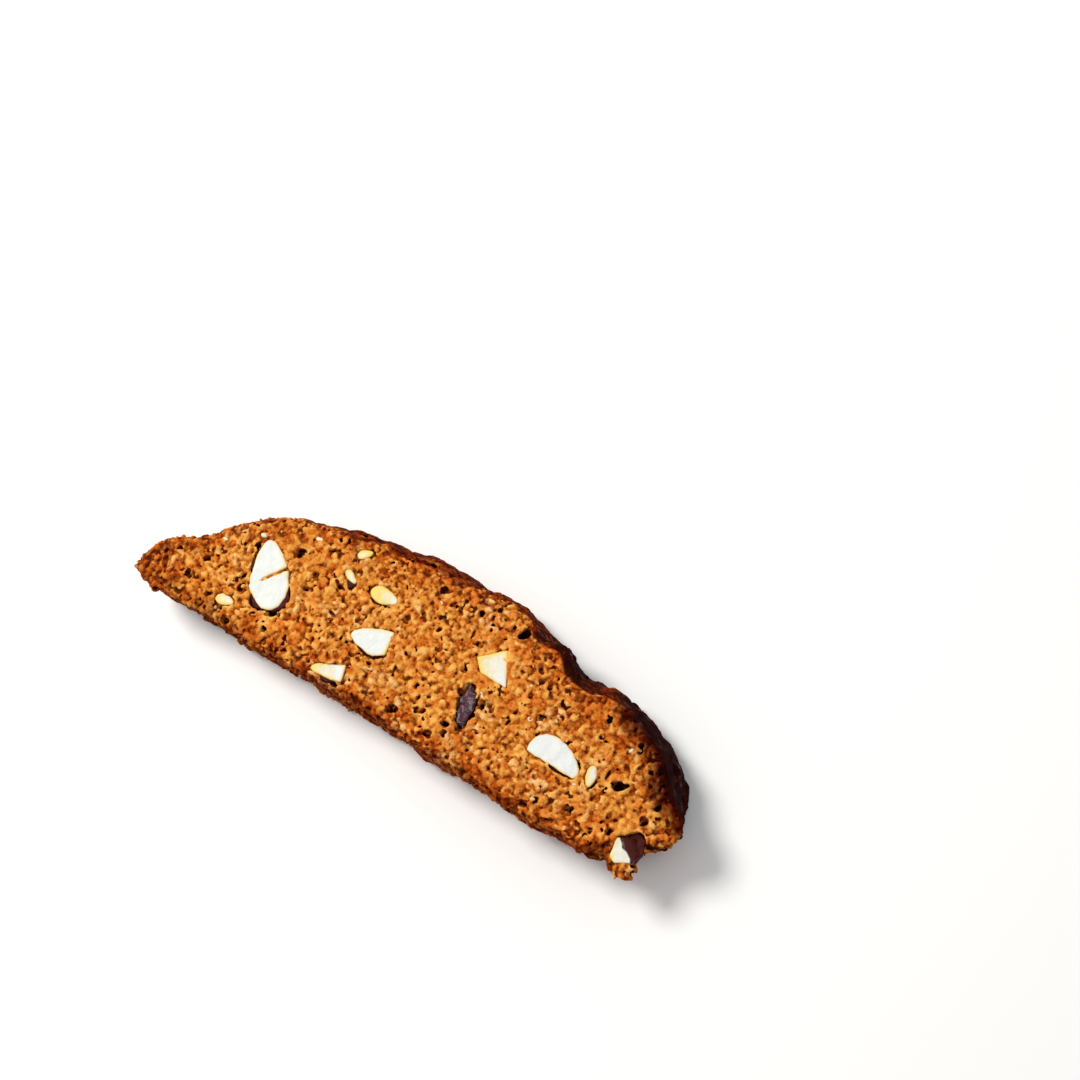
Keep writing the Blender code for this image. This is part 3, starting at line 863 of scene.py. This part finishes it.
# How yellow the flesh is toasted, and towards which side (degrees) more so
Toasting = namedtuple("Toasting", "amount direction")
CREAM = {
    "almond_cream": Toasting(0.75, 200),
    "almond_triangle": Toasting(0.4, 165),
    "almond_base_sliver": Toasting(0.35, 200),
    "almond_chip_thin_end": Toasting(0.45, 250),
    "almond_crest_chip": Toasting(0.55, 90),
    "almond_chip_upper": Toasting(0.3, 200),
    "almond_sliver": Toasting(0.45, 215),
    "almond_corner": Toasting(0.35, 200),
    "almond_under_thin_end": Toasting(0.5, 20),
    "almond_under_chip": Toasting(0.6, 120),
}
WHITE = Toasting(0.06, 0)
EDGE_WIDTH = 0.8  # of the toasted rim


def edge_share(name, block, plain, points):
    """1 at the rim of the cut face and down the sides, and 0 well inside the face."""
    low, high = box_of(name)
    upper = high[2] > THICKNESS / 2
    probe = points.copy()
    probe[:, 2] = high[2] - EDGE_WIDTH if upper else low[2] + EDGE_WIDTH
    inside = np.clip(-block.sample(plain, probe) / EDGE_WIDTH, 0, 1)
    on_face = smooth_step(0.45, 0.15, np.abs(points[:, 2] - (high[2] if upper else low[2])))
    return 1 - inside * on_face


def cream_share(name, points):
    """How yellow the flesh is at each point."""
    toasting = CREAM.get(name, WHITE)
    low, high = box_of(name)
    angle = math.radians(toasting.direction)
    toward = np.array([math.cos(angle), math.sin(angle), 0.0])
    across = (points - (low + high) / 2) @ toward / (max(high[:2] - low[:2]) / 2)
    return toasting.amount * (1 + across)


# The corner almond lies tilted, so part of its top is its own brown back
TILTED = "almond_corner"
BACK = (56.0, 0.35)  # where the skin starts: direction (degrees) and distance (mm) from the middle
FREE = 9.0
BACK_FALL = (0.12, 0.16)  # how the back falls away, for each mm and for its square
LAPS = ((190.0, 1.7), (-60.0, 2.5))  # where crumb laps over two of its sides, as for BACK


def past(direction, distance, x, y):
    """How far a place lies past a line, which is a distance from the tilted almond's middle."""
    low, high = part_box(TILTED)
    middle = (low + high) / 2 / MM
    angle = math.radians(direction)
    return (x - middle.x) * math.cos(angle) + (y - middle.y) * math.sin(angle) - distance


def lapped(x, y):
    """How far under the crumb that laps over the tilted almond a place is, and less than 0 off it."""
    return np.maximum(*(past(*lap, x, y) for lap in LAPS))


def brown_back(name, x, y):
    """How far over the almond's brown back a place is, and 0 or less on its cut flesh."""
    if name != TILTED:
        return np.full(np.broadcast(x, y).shape, -1.0)
    return past(*BACK, x, y)


def top_level(name, top, x, y):
    """The height of an almond's upper side, which falls away over its brown back and is free elsewhere."""
    back = np.maximum(brown_back(name, x, y), 0)
    return np.where(back > 0, top - BACK_FALL[0] * back - BACK_FALL[1] * back**2, top + FREE)


class BISCOTTO_OT_chop_almonds(bpy.types.Operator):
    """Makes each chopped almond from its CAD solid"""

    bl_idname = "biscotto.chop_almonds"
    bl_label = "Chop Almonds"

    def execute(self, context):
        settings = context.scene.biscotto.almonds
        surface = flesh_material(settings)
        rng = np.random.default_rng(SEED + 1)
        for name in ALMONDS:
            block, plain, field = nut_shape(name, settings.cell / MM, rng)
            points, faces = biggest_part(*block.surface(field))
            mesh = mesh_from(name + "_flesh", points, faces)
            write_mask(mesh, "edge", edge_share(name, block, plain, points))
            write_mask(mesh, "cream", cream_share(name, points))
            back = brown_back(name, points[:, 0], points[:, 1])
            back = back + 0.14 * block.sample(block.noise(1.1, rng), points)
            write_mask(mesh, "skin", smooth_step(-0.1, 0.15, back))
            add_piece(name + "_flesh", mesh, surface, "almond", name)
        return {"FINISHED"}


# Brown skin left on the kernels: almond, direction (degrees), how far round it goes, thickness (mm)
Skin = namedtuple("Skin", "almond direction spread thickness")
SKINS = (
    Skin("almond_long_far", -15, 80, 1.1),
    Skin("almond_long_far", -100, 50, 1.1),
    Skin("almond_long_near", 195, 60, 0.7),
    Skin("almond_corner", 48, 80, 1.3),
    Skin("almond_wedge", -75, 70, 0.45),
    Skin("almond_base_sliver", -75, 60, 0.8),
    Skin("almond_cream", -110, 50, 0.6),
    Skin("almond_chip_upper", -60, 60, 1.3),
    Skin("almond_lens", -60, 45, 0.6),
    Skin("almond_sliver", -30, 50, 0.5),
    Skin("almond_under_long", 60, 80, 0.5),
    Skin("almond_under_wedge", -100, 70, 0.5),
    Skin("almond_under_half", 200, 80, 0.6),
    Skin("almond_under_thin_end", 20, 60, 0.5),
    Skin("almond_under_crest", -80, 60, 0.5),
)
SKIN_DROP = 0.25  # how far the skin's edge lies under the cut flesh
SKIN_LAP = 0.25  # how far it reaches into the flesh
SKIN_ENDS = (0.3, 0.25)  # the share of its thickness at which a slip ends, and its crevice
SIDE_DEPTH = 0.9  # from here up a slip stands straight
CREVICE_ROOM = 0.15  # between a slip of skin and the crumb
CREVICE_DEPTH = 1.5
SLIP_FALL = 1.1  # the most that a slip of skin falls away with the tilted almond's back
BACK_ROOM, BACK_DEPTH = 0.3, 2.6  # the room round the tilted almond's back, and how far down it goes


def beside(skin, block, rng):
    """Each cell's level distance from an almond's side, its share of the skin's thickness and its depth."""
    low, high = box_of(skin.almond)
    plain = block.distances(*surface_of([skin.almond]), skin.thickness + 1.0)
    x, y, z = block.places()
    middle = (low + high) / 2
    turn = np.arctan2(y - middle[1], x - middle[0]) - math.radians(skin.direction)
    turn = np.abs(np.arctan2(np.sin(turn), np.cos(turn)))
    share = smooth_step(math.radians(skin.spread), 0.0, turn + 0.12 * block.noise(1.6, rng))
    upper = high[2] > THICKNESS / 2
    face = high[2] if upper else low[2]
    down = face - z if upper else z - face
    level = face - SIDE_DEPTH if upper else face + SIDE_DEPTH
    side = np.where(down < SIDE_DEPTH, block.layer(plain, level), plain)
    return side, share, down


def skin_block(skin, cell):
    low, high = box_of(skin.almond)
    return Block(low - skin.thickness - ROOM, high + skin.thickness + ROOM, cell)


def carve_beside(block, field, skin, rng):
    """Clears the crumb from the crevice where a slip of skin lies."""
    part = skin_block(skin, block.cell)
    side, share, down = beside(skin, part, rng)
    crevice = np.maximum(side - skin.thickness * share - CREVICE_ROOM, down - CREVICE_DEPTH)
    crevice = np.maximum(crevice, SKIN_ENDS[1] - share)
    start = part.first - block.first
    first, last = np.maximum(start, 0), np.minimum(start + part.shape, block.shape)
    window = tuple(slice(a, b) for a, b in zip(first, last))
    inside = tuple(slice(a, b) for a, b in zip(first - start, last - start))
    field[window] = np.maximum(field[window], -crevice[inside])


def carve_back(block, field):
    """Clears the crumb from over the brown back of the tilted almond."""
    x, y, z = block.places()
    nut = block.layer(block.distances(*surface_of([TILTED]), REACH), THICKNESS - 1.0)
    room = np.maximum(-BACK_ROOM - brown_back(TILTED, x, y), (THICKNESS - BACK_DEPTH) - z)
    np.maximum(field, -np.maximum(nut - BACK_ROOM, room), out=field)


def skin_shape(skin, cell, rng):
    """A crescent of skin that hugs one side of an almond."""
    block = skin_block(skin, cell)
    side, share, down = beside(skin, block, rng)
    shape = np.maximum(side - skin.thickness * share + 0.05, np.maximum(-SKIN_LAP - side, SKIN_DROP - down))
    shape = np.maximum(shape, SKIN_ENDS[0] - share)
    x, y, z = block.places()
    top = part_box(skin.almond)[1].z / MM
    shape = np.maximum(shape, z - np.maximum(top_level(skin.almond, top, x, y), top - SLIP_FALL) - 0.1)
    return block, shape + 0.06 * block.noise(1.0, rng)


class BISCOTTO_OT_skin_almonds(bpy.types.Operator):
    """Makes the slips of brown skin beside the chopped almonds"""

    bl_idname = "biscotto.skin_almonds"
    bl_label = "Skin Almonds"

    def execute(self, context):
        settings = context.scene.biscotto.almonds
        rng = np.random.default_rng(SEED + 2)
        slips = []
        for skin in SKINS:
            block, shape = skin_shape(skin, settings.cell / MM, rng)
            slips.append(biggest_part(*block.surface(shape)))
        mesh = mesh_from("almond_skins", *joined(slips))
        add_piece("almond_skins", mesh, skin_material(settings), "almond")
        return {"FINISHED"}


# Small bits of almond in the upper cut face: place, length, width (mm) and turn (degrees)
Bit = namedtuple("Bit", "x height length width turn")
BITS = (
    Bit(-40.6, 19.0, 1.5, 1.0, 20),
    Bit(-30.4, 23.9, 1.6, 0.8, 10),
    Bit(-47.0, 14.4, 1.2, 0.8, 30),
    Bit(14.6, 14.4, 1.8, 0.8, -10),
    Bit(21.8, 20.6, 1.3, 1.2, 40),
    Bit(39.4, 9.4, 1.1, 0.8, 60),
    Bit(25.6, 15.3, 1.2, 1.0, 30),
    Bit(-2.0, 25.4, 1.0, 0.7, 0),
    Bit(45.0, 20.0, 0.9, 0.7, 80),
)


class BISCOTTO_OT_scatter_bits(bpy.types.Operator):
    """Makes the small bits of almond in the upper cut face"""

    bl_idname = "biscotto.scatter_bits"
    bl_label = "Scatter Almond Bits"

    def execute(self, context):
        settings = context.scene.biscotto.almonds
        rng = np.random.default_rng(SEED + 3)
        chips = []
        for bit in BITS:
            centre = np.array([bit.x, BASE_Y + bit.height, THICKNESS - 0.25])
            block = Block(centre - 2.0, centre + 2.0, settings.cell / MM / 2)
            shape = np.full(block.shape, REACH, np.float32)
            sizes = np.array([bit.length / 2, bit.width / 2, 0.6])
            block.stamp(shape, centre, sizes, flat_turn(bit.turn), 0.05, add=True)
            shape = np.maximum(shape, block.places()[2] - (THICKNESS + 0.1)) + 0.06 * block.noise(0.8, rng)
            chips.append(biggest_part(*block.surface(shape)))
        points, faces = joined(chips)
        mesh = mesh_from("almond_bits", points, faces)
        for title, value in (("edge", 0.5), ("cream", 0.4), ("skin", 0.0)):
            write_mask(mesh, title, np.full(len(points), value))
        add_piece("almond_bits", mesh, bpy.data.materials["Almond Flesh"], "almond")
        return {"FINISHED"}


class BISCOTTO_OT_lay_fruit(bpy.types.Operator):
    """Makes the wrinkled strip of dried fruit"""

    bl_idname = "biscotto.lay_fruit"
    bl_label = "Lay Dried Fruit"

    def execute(self, context):
        settings = context.scene.biscotto.almonds
        rng = np.random.default_rng(SEED + 4)
        low, high = box_of(FRUIT)
        block = Block(low - 1.0, high + 1.0, settings.cell / MM)
        plain = block.distances(*surface_of([FRUIT]), 1.6)
        folds = np.abs(block.noise(1.8, rng))
        shape = block.blurred(plain, 2) - 0.15 + 0.22 * folds + 0.05 * block.noise(0.6, rng)
        points, faces = biggest_part(*block.surface(shape))
        mesh = mesh_from("dried_fruit_strip", points, faces)
        write_mask(mesh, "fold", block.sample(folds, points))
        add_piece("dried_fruit_strip", mesh, fruit_material(settings), "dried_fruit", FRUIT)
        return {"FINISHED"}


# Materials

# Painted shade deep in the pits
PIT_SHADE_TINT = (0.1, 0.07, 0.1)  # down in the pits
SPECKLE_TINT = (0.65, 0.55, 0.5)  # on the dome's crust
# Painted shade in the hollows of the crust
HOLLOW_SHADE_TINT = (0.35, 0.3, 0.3)


def add_node(tree, kind, inputs=None, **settings):
    """A new node with its settings, and inputs set to a value or linked from a socket."""
    made = tree.nodes.new("ShaderNode" + kind)
    for name, value in settings.items():
        setattr(made, name, value)
    for key, value in (inputs or {}).items():
        if isinstance(value, bpy.types.NodeSocket):
            tree.links.new(value, made.inputs[key])
        else:
            made.inputs[key].default_value = value
    return made


def mask(tree, name):
    return add_node(tree, "Attribute", attribute_name=name).outputs["Fac"]


def opaque(colour, times=1.0):
    """A colour, so many times as bright, for a colour socket."""
    return (*(part * times for part in colour), 1.0)


def mixed(tree, share, first, second, blend="MIX"):
    """Two colours mixed by a share."""
    node = add_node(tree, "Mix", {0: share, 6: first, 7: second}, data_type="RGBA", blend_type=blend)
    return node.outputs[2]


def tinted(tree, share, colour, tint):
    """A colour with a share of it multiplied by a tint."""
    return mixed(tree, share, colour, mixed(tree, 1.0, colour, opaque(tint), "MULTIPLY"))


def worked(tree, operation, *values):
    return add_node(tree, "Math", dict(enumerate(values)), operation=operation).outputs[0]


def plus(tree, value, amount, by):
    """A value with so much of another added."""
    return worked(tree, "MULTIPLY_ADD", by, amount, value)


def swayed(tree, value, amount, by, middle=0.5):
    """A value with so much added as another lies over its middle."""
    return plus(tree, value, amount, worked(tree, "SUBTRACT", by, middle))


def ranged(tree, value, low, high, to_low=0.0, to_high=1.0):
    node = add_node(tree, "MapRange", {0: value, 1: low, 2: high, 3: to_low, 4: to_high})
    return node.outputs[0]


def ramp(tree, value, stops):
    """Colours along a value: stops are (place, colour)."""
    node = add_node(tree, "ValToRGB", {0: value})
    elements = node.color_ramp.elements
    while len(elements) < len(stops):
        elements.new(0.5)
    for element, (place, colour) in zip(elements, stops):
        element.position = place
        element.color = opaque(colour)
    return node.outputs[0]


def grain_group():
    """Node group: fine baked grain. Height is for a Bump, and Speckle and Patches vary colour."""
    if "Baked Grain" in bpy.data.node_groups:
        return bpy.data.node_groups["Baked Grain"]
    tree = bpy.data.node_groups.new("Baked Grain", "ShaderNodeTree")
    for name, default in (("Grain Size", 0.4), ("Patch Size", 2.5), ("Sharpness", 0.5)):
        socket = tree.interface.new_socket(name, in_out="INPUT", socket_type="NodeSocketFloat")
        socket.default_value = default
    for name in ("Height", "Speckle", "Patches"):
        tree.interface.new_socket(name, in_out="OUTPUT", socket_type="NodeSocketFloat")
    given = tree.nodes.new("NodeGroupInput").outputs
    place = add_node(tree, "TexCoord").outputs["Object"]
    fine = worked(tree, "DIVIDE", 1 / MM, given["Grain Size"])
    broad = worked(tree, "DIVIDE", 1 / MM, given["Patch Size"])
    noise = add_node(
        tree, "TexNoise", {"Vector": place, "Scale": fine, "Detail": 4.0, "Roughness": given["Sharpness"]}
    )
    cells = add_node(tree, "TexVoronoi", {"Vector": place, "Scale": fine, "Randomness": 1.0})
    patches = add_node(tree, "TexNoise", {"Vector": place, "Scale": broad, "Detail": 3.0})
    dips = worked(tree, "MULTIPLY", cells.outputs["Distance"], 0.5)
    lumps = worked(tree, "SUBTRACT", noise.outputs["Fac"], dips)
    given_out = tree.nodes.new("NodeGroupOutput").inputs
    tree.links.new(lumps, given_out["Height"])
    tree.links.new(noise.outputs["Fac"], given_out["Speckle"])
    tree.links.new(patches.outputs["Fac"], given_out["Patches"])
    return tree


def grain(tree, size, patch, sharpness=0.6):
    """The grain group in a material, with the size of its grains and patches in mm."""
    node = tree.nodes.new("ShaderNodeGroup")
    node.node_tree = grain_group()
    node.inputs["Grain Size"].default_value = size
    node.inputs["Patch Size"].default_value = patch
    node.inputs["Sharpness"].default_value = sharpness
    return node.outputs


def new_material(name):
    made = bpy.data.materials.new(name)
    made.use_nodes = True
    tree = made.node_tree
    return made, tree, tree.nodes["Principled BSDF"]


def set_shader(tree, shader, **inputs):
    """Links sockets to the shader and sets plain values on it."""
    for key, value in inputs.items():
        socket = shader.inputs[key.replace("_", " ")]
        if isinstance(value, bpy.types.NodeSocket):
            tree.links.new(value, socket)
        else:
            socket.default_value = value


def bump(tree, height, distance, strength=1.0):
    node = add_node(tree, "Bump", {"Height": height, "Distance": distance, "Strength": strength})
    return node.outputs["Normal"]


def crumb_colour(tree, crumb, crust, fine, broad):
    """Raised grains are painted paler and pores, creases and pits darker, as light and shade fall on them.
    """
    tone, hue, toast = (mask(tree, name) for name in ("tone", "hue", "toast"))
    # Painted shade: darker in hollows and pores, paler on raised grains
    lift = worked(tree, "MULTIPLY_ADD", mask(tree, "hollow_shade"), -1.9, 1.52)
    lift = swayed(tree, lift, 0.5, tone)
    # Painted shade in the creases between grains
    lift = swayed(tree, lift, -0.55, mask(tree, "crease_shade"), 0.52)
    lift = swayed(tree, lift, 1.2, fine["Speckle"])
    lift = swayed(tree, lift, 0.8, broad["Speckle"])
    lift = plus(tree, lift, -0.4, toast)
    stops = ((0.0, crumb.pit), (0.28, crumb.toasted), (0.55, crumb.golden), (1.0, crumb.pale))
    colour = ramp(tree, lift, stops)
    redness = plus(tree, worked(tree, "SUBTRACT", hue, 0.22), 1.9, fine["Patches"])
    redness = plus(tree, redness, 0.5, toast)
    colour = tinted(tree, ranged(tree, redness, 1.25, 1.65), colour, crumb.red_tint)
    dryness = plus(tree, worked(tree, "SUBTRACT", 0.68, hue), 2.2, broad["Patches"])
    colour = tinted(tree, ranged(tree, dryness, 1.45, 1.9), colour, crumb.dry_tint)
    # Painted shade deep in the pits
    colour = tinted(tree, mask(tree, "pit_shade"), colour, PIT_SHADE_TINT)
    return tinted(tree, mask(tree, "scorch"), colour, crust.scorch)


def crust_colour(tree, colour, crust, fine, broad):
    """The crumb's colour browned on the dome and the base, and near-black at the blunt end, partly painted
    shade.
    """
    brown = tinted(tree, 1.0, colour, crust.brown)
    mottle = ranged(tree, fine["Patches"], 0.4, 0.7)
    # Dark crust at the blunt end, darkened further to paint its shade
    dark = mixed(tree, mottle, opaque(crust.dark), opaque(crust.dark, 2.6))
    dome = mixed(tree, mask(tree, "dark_end"), brown, dark)
    dome = tinted(tree, ranged(tree, fine["Speckle"], 0.62, 0.38), dome, SPECKLE_TINT)
    # Painted shade in the hollows of the crust
    dome = tinted(tree, ranged(tree, mask(tree, "hollow_shade"), 0.5, 0.85), dome, HOLLOW_SHADE_TINT)
    baked = tinted(tree, ranged(tree, broad["Speckle"], 0.62, 0.4, 0.5, 1.0), colour, crust.base)
    return mixed(tree, mask(tree, "base"), dome, baked)


def crumb_material(crumb, crust):
    made, tree, shader = new_material("Baked Crumb")
    fine, broad = grain(tree, 0.45, 2.6), grain(tree, 1.3, 9.0)
    colour = crumb_colour(tree, crumb, crust, fine, broad)
    crusted = swayed(tree, mask(tree, "crust"), 1.2, broad["Speckle"])
    crusted = ranged(tree, crusted, 0.3, 0.75)
    colour = mixed(tree, crusted, colour, crust_colour(tree, colour, crust, fine, broad))
    smoothing = ranged(tree, mask(tree, "crust"), 0.2, 0.9, 1.0, 0.35)
    height = worked(tree, "MULTIPLY", fine["Height"], smoothing)
    patches, speckle = ranged(tree, fine["Patches"], 0.6, 0.66), ranged(tree, fine["Speckle"], 0.53, 0.6)
    spots = worked(tree, "MULTIPLY", patches, speckle)
    set_shader(
        tree,
        shader,
        Base_Color=colour,
        Roughness=plus(tree, 0.55, 0.3, fine["Speckle"]),
        Coat_Weight=worked(tree, "MULTIPLY", spots, mask(tree, "dark_end")),
        Normal=bump(tree, height, 0.22 * MM, 0.8),
        Coat_Roughness=0.25,
        Specular_IOR_Level=0.01,
    )
    return made


def skin_colour(tree, fine, almonds):
    return mixed(tree, fine["Patches"], opaque(almonds.skin), opaque(almonds.skin, 2.2))


def flesh_material(almonds):
    made, tree, shader = new_material("Almond Flesh")
    fine = grain(tree, 0.5, 2.0)
    cream = plus(tree, mask(tree, "cream"), 0.65, worked(tree, "POWER", mask(tree, "edge"), 2.0))
    cream = swayed(tree, cream, 1.1, fine["Patches"])
    colour = mixed(tree, ranged(tree, cream, 0.15, 0.95), opaque(almonds.flesh), opaque(almonds.cream))
    colour = tinted(tree, ranged(tree, fine["Speckle"], 0.42, 0.3, 0.0, 0.5), colour, (0.8, 0.78, 0.72))
    colour = mixed(tree, mask(tree, "skin"), colour, skin_colour(tree, fine, almonds))
    roughness = plus(tree, 0.4, 0.25, fine["Speckle"])
    set_shader(
        tree,
        shader,
        Base_Color=colour,
        Roughness=plus(tree, roughness, -0.25, mask(tree, "skin")),
        Normal=bump(tree, fine["Height"], 0.05 * MM, 0.6),
        Specular_IOR_Level=0.15,
        Subsurface_Weight=0.15,
        Subsurface_Radius=(1.0, 0.8, 0.5),
        Subsurface_Scale=0.8 * MM,
    )
    return made


def skin_material(almonds):
    made, tree, shader = new_material("Almond Skin")
    fine = grain(tree, 0.35, 1.4)
    set_shader(
        tree,
        shader,
        Base_Color=skin_colour(tree, fine, almonds),
        Roughness=plus(tree, 0.2, 0.4, fine["Speckle"]),
        Normal=bump(tree, fine["Height"], 0.1 * MM, 0.8),
        Specular_IOR_Level=0.04,
    )
    return made


def fruit_material(almonds):
    made, tree, shader = new_material("Dried Fruit")
    fine = grain(tree, 0.5, 1.8)
    share = ranged(tree, worked(tree, "ADD", mask(tree, "fold"), fine["Speckle"]), 0.6, 2.2)
    set_shader(
        tree,
        shader,
        Base_Color=mixed(tree, share, opaque(almonds.fruit), opaque(almonds.fruit, 2.8)),
        Roughness=plus(tree, 0.2, 0.35, fine["Speckle"]),
        Normal=bump(tree, fine["Height"], 0.12 * MM, 0.8),
    )
    return made


# The stage, in metres but for the camera's target

CAMERA_TARGET = (7.7976, 28.7422, 15.0)
FLOOR_HALF = 3.0
KEY_DIRECTION = (-0.5, 0.05, 0.86)
KEY_DISTANCE = 0.8
KEY_SIZE = 0.3
KEY_COLOUR = (1.0, 0.97, 0.92)


def floor_material(stage):
    made, tree, shader = new_material("Pale Floor")
    place = add_node(tree, "TexCoord").outputs["Object"]
    cloud = add_node(tree, "TexNoise", {"Vector": place, "Scale": 4.0, "Detail": 3.0})
    colour = mixed(tree, cloud.outputs["Fac"], opaque(stage.floor), opaque(stage.floor, 0.98))
    set_shader(tree, shader, Base_Color=colour, Roughness=0.7)
    return made


def add_floor(scene, stage):
    bm = bmesh.new()
    bmesh.ops.create_grid(bm, x_segments=8, y_segments=8, size=FLOOR_HALF)
    mesh = bpy.data.meshes.new("floor")
    bm.to_mesh(mesh)
    bm.free()
    mesh.materials.append(floor_material(stage))
    floor = bpy.data.objects.new("floor", mesh)
    scene.collection.objects.link(floor)


def add_light(scene, stage):
    """A soft key light, and white surroundings that fill the shadows."""
    lamp = bpy.data.lights.new("key", "AREA")
    lamp.shape = "DISK"
    lamp.size = KEY_SIZE
    lamp.energy = stage.key_power
    lamp.color = KEY_COLOUR
    key = bpy.data.objects.new("key", lamp)
    toward = Vector(KEY_DIRECTION).normalized()
    key.location = toward * KEY_DISTANCE
    key.rotation_euler = toward.to_track_quat("Z", "Y").to_euler()
    scene.collection.objects.link(key)
    world = bpy.data.worlds.new("studio")
    world.use_nodes = True
    sky = world.node_tree.nodes["Background"]
    sky.inputs["Color"].default_value = (1.0, 1.0, 1.0, 1.0)
    sky.inputs["Strength"].default_value = stage.fill
    scene.world = world


def add_camera(scene, stage):
    made = bpy.data.objects.new("camera", bpy.data.cameras.new("camera"))
    made.data.lens = stage.lens
    made.data.clip_start, made.data.clip_end = 0.01, 20.0
    turn, rise = stage.azimuth, stage.elevation
    back = Vector((math.sin(turn) * math.cos(rise), -math.cos(turn) * math.cos(rise), math.sin(rise)))
    made.location = Vector(CAMERA_TARGET) * MM + back * stage.distance
    made.rotation_mode = "QUATERNION"
    roll = Quaternion((0, 0, 1), stage.roll)
    made.rotation_quaternion = (-back).to_track_quat("-Z", "Y") @ roll
    scene.collection.objects.link(made)
    scene.camera = made


class BISCOTTO_OT_set_stage(bpy.types.Operator):
    """Makes the pale floor, the soft light and the camera"""

    bl_idname = "biscotto.set_stage"
    bl_label = "Set Stage"

    def execute(self, context):
        scene = context.scene
        for add_part in (add_floor, add_light, add_camera):
            add_part(scene, scene.biscotto.stage)
        scene.view_settings.view_transform = "Standard"
        return {"FINISHED"}


# Panel and registering


class BiscottoSettings(bpy.types.PropertyGroup):
    crumb: PointerProperty(name="Crumb", type=BiscottoCrumbSettings)
    crust: PointerProperty(name="Crust", type=BiscottoCrustSettings)
    almonds: PointerProperty(name="Almonds", type=BiscottoAlmondSettings)
    stage: PointerProperty(name="Stage", type=BiscottoStageSettings)


STEPS = (
    BISCOTTO_OT_bake_slice,
    BISCOTTO_OT_chop_almonds,
    BISCOTTO_OT_skin_almonds,
    BISCOTTO_OT_scatter_bits,
    BISCOTTO_OT_lay_fruit,
    BISCOTTO_OT_set_stage,
)


class BISCOTTO_PT_panel(bpy.types.Panel):
    """Lists the steps of making the biscotto"""

    bl_label = "Biscotto"
    bl_idname = "BISCOTTO_PT_panel"
    bl_space_type = "VIEW_3D"
    bl_region_type = "UI"
    bl_category = "Biscotto"

    def draw(self, context):
        settings = context.scene.biscotto
        for group in (settings.crumb, settings.crust, settings.almonds, settings.stage):
            box = self.layout.box()
            for name in group.__annotations__:
                box.prop(group, name)
        for step in STEPS:
            self.layout.operator(step.bl_idname)


CLASSES = (
    BiscottoCrumbSettings,
    BiscottoCrustSettings,
    BiscottoAlmondSettings,
    BiscottoStageSettings,
    BiscottoSettings,
    *STEPS,
    BISCOTTO_PT_panel,
)


def register():
    for made in CLASSES:
        bpy.utils.register_class(made)
    bpy.types.Scene.biscotto = PointerProperty(type=BiscottoSettings)


def unregister():
    del bpy.types.Scene.biscotto
    for made in reversed(CLASSES):
        bpy.utils.unregister_class(made)


def main():
    register()
    for step in STEPS:
        group, name = step.bl_idname.split(".")
        getattr(getattr(bpy.ops, group), name)()


if __name__ == "__main__":
    main()
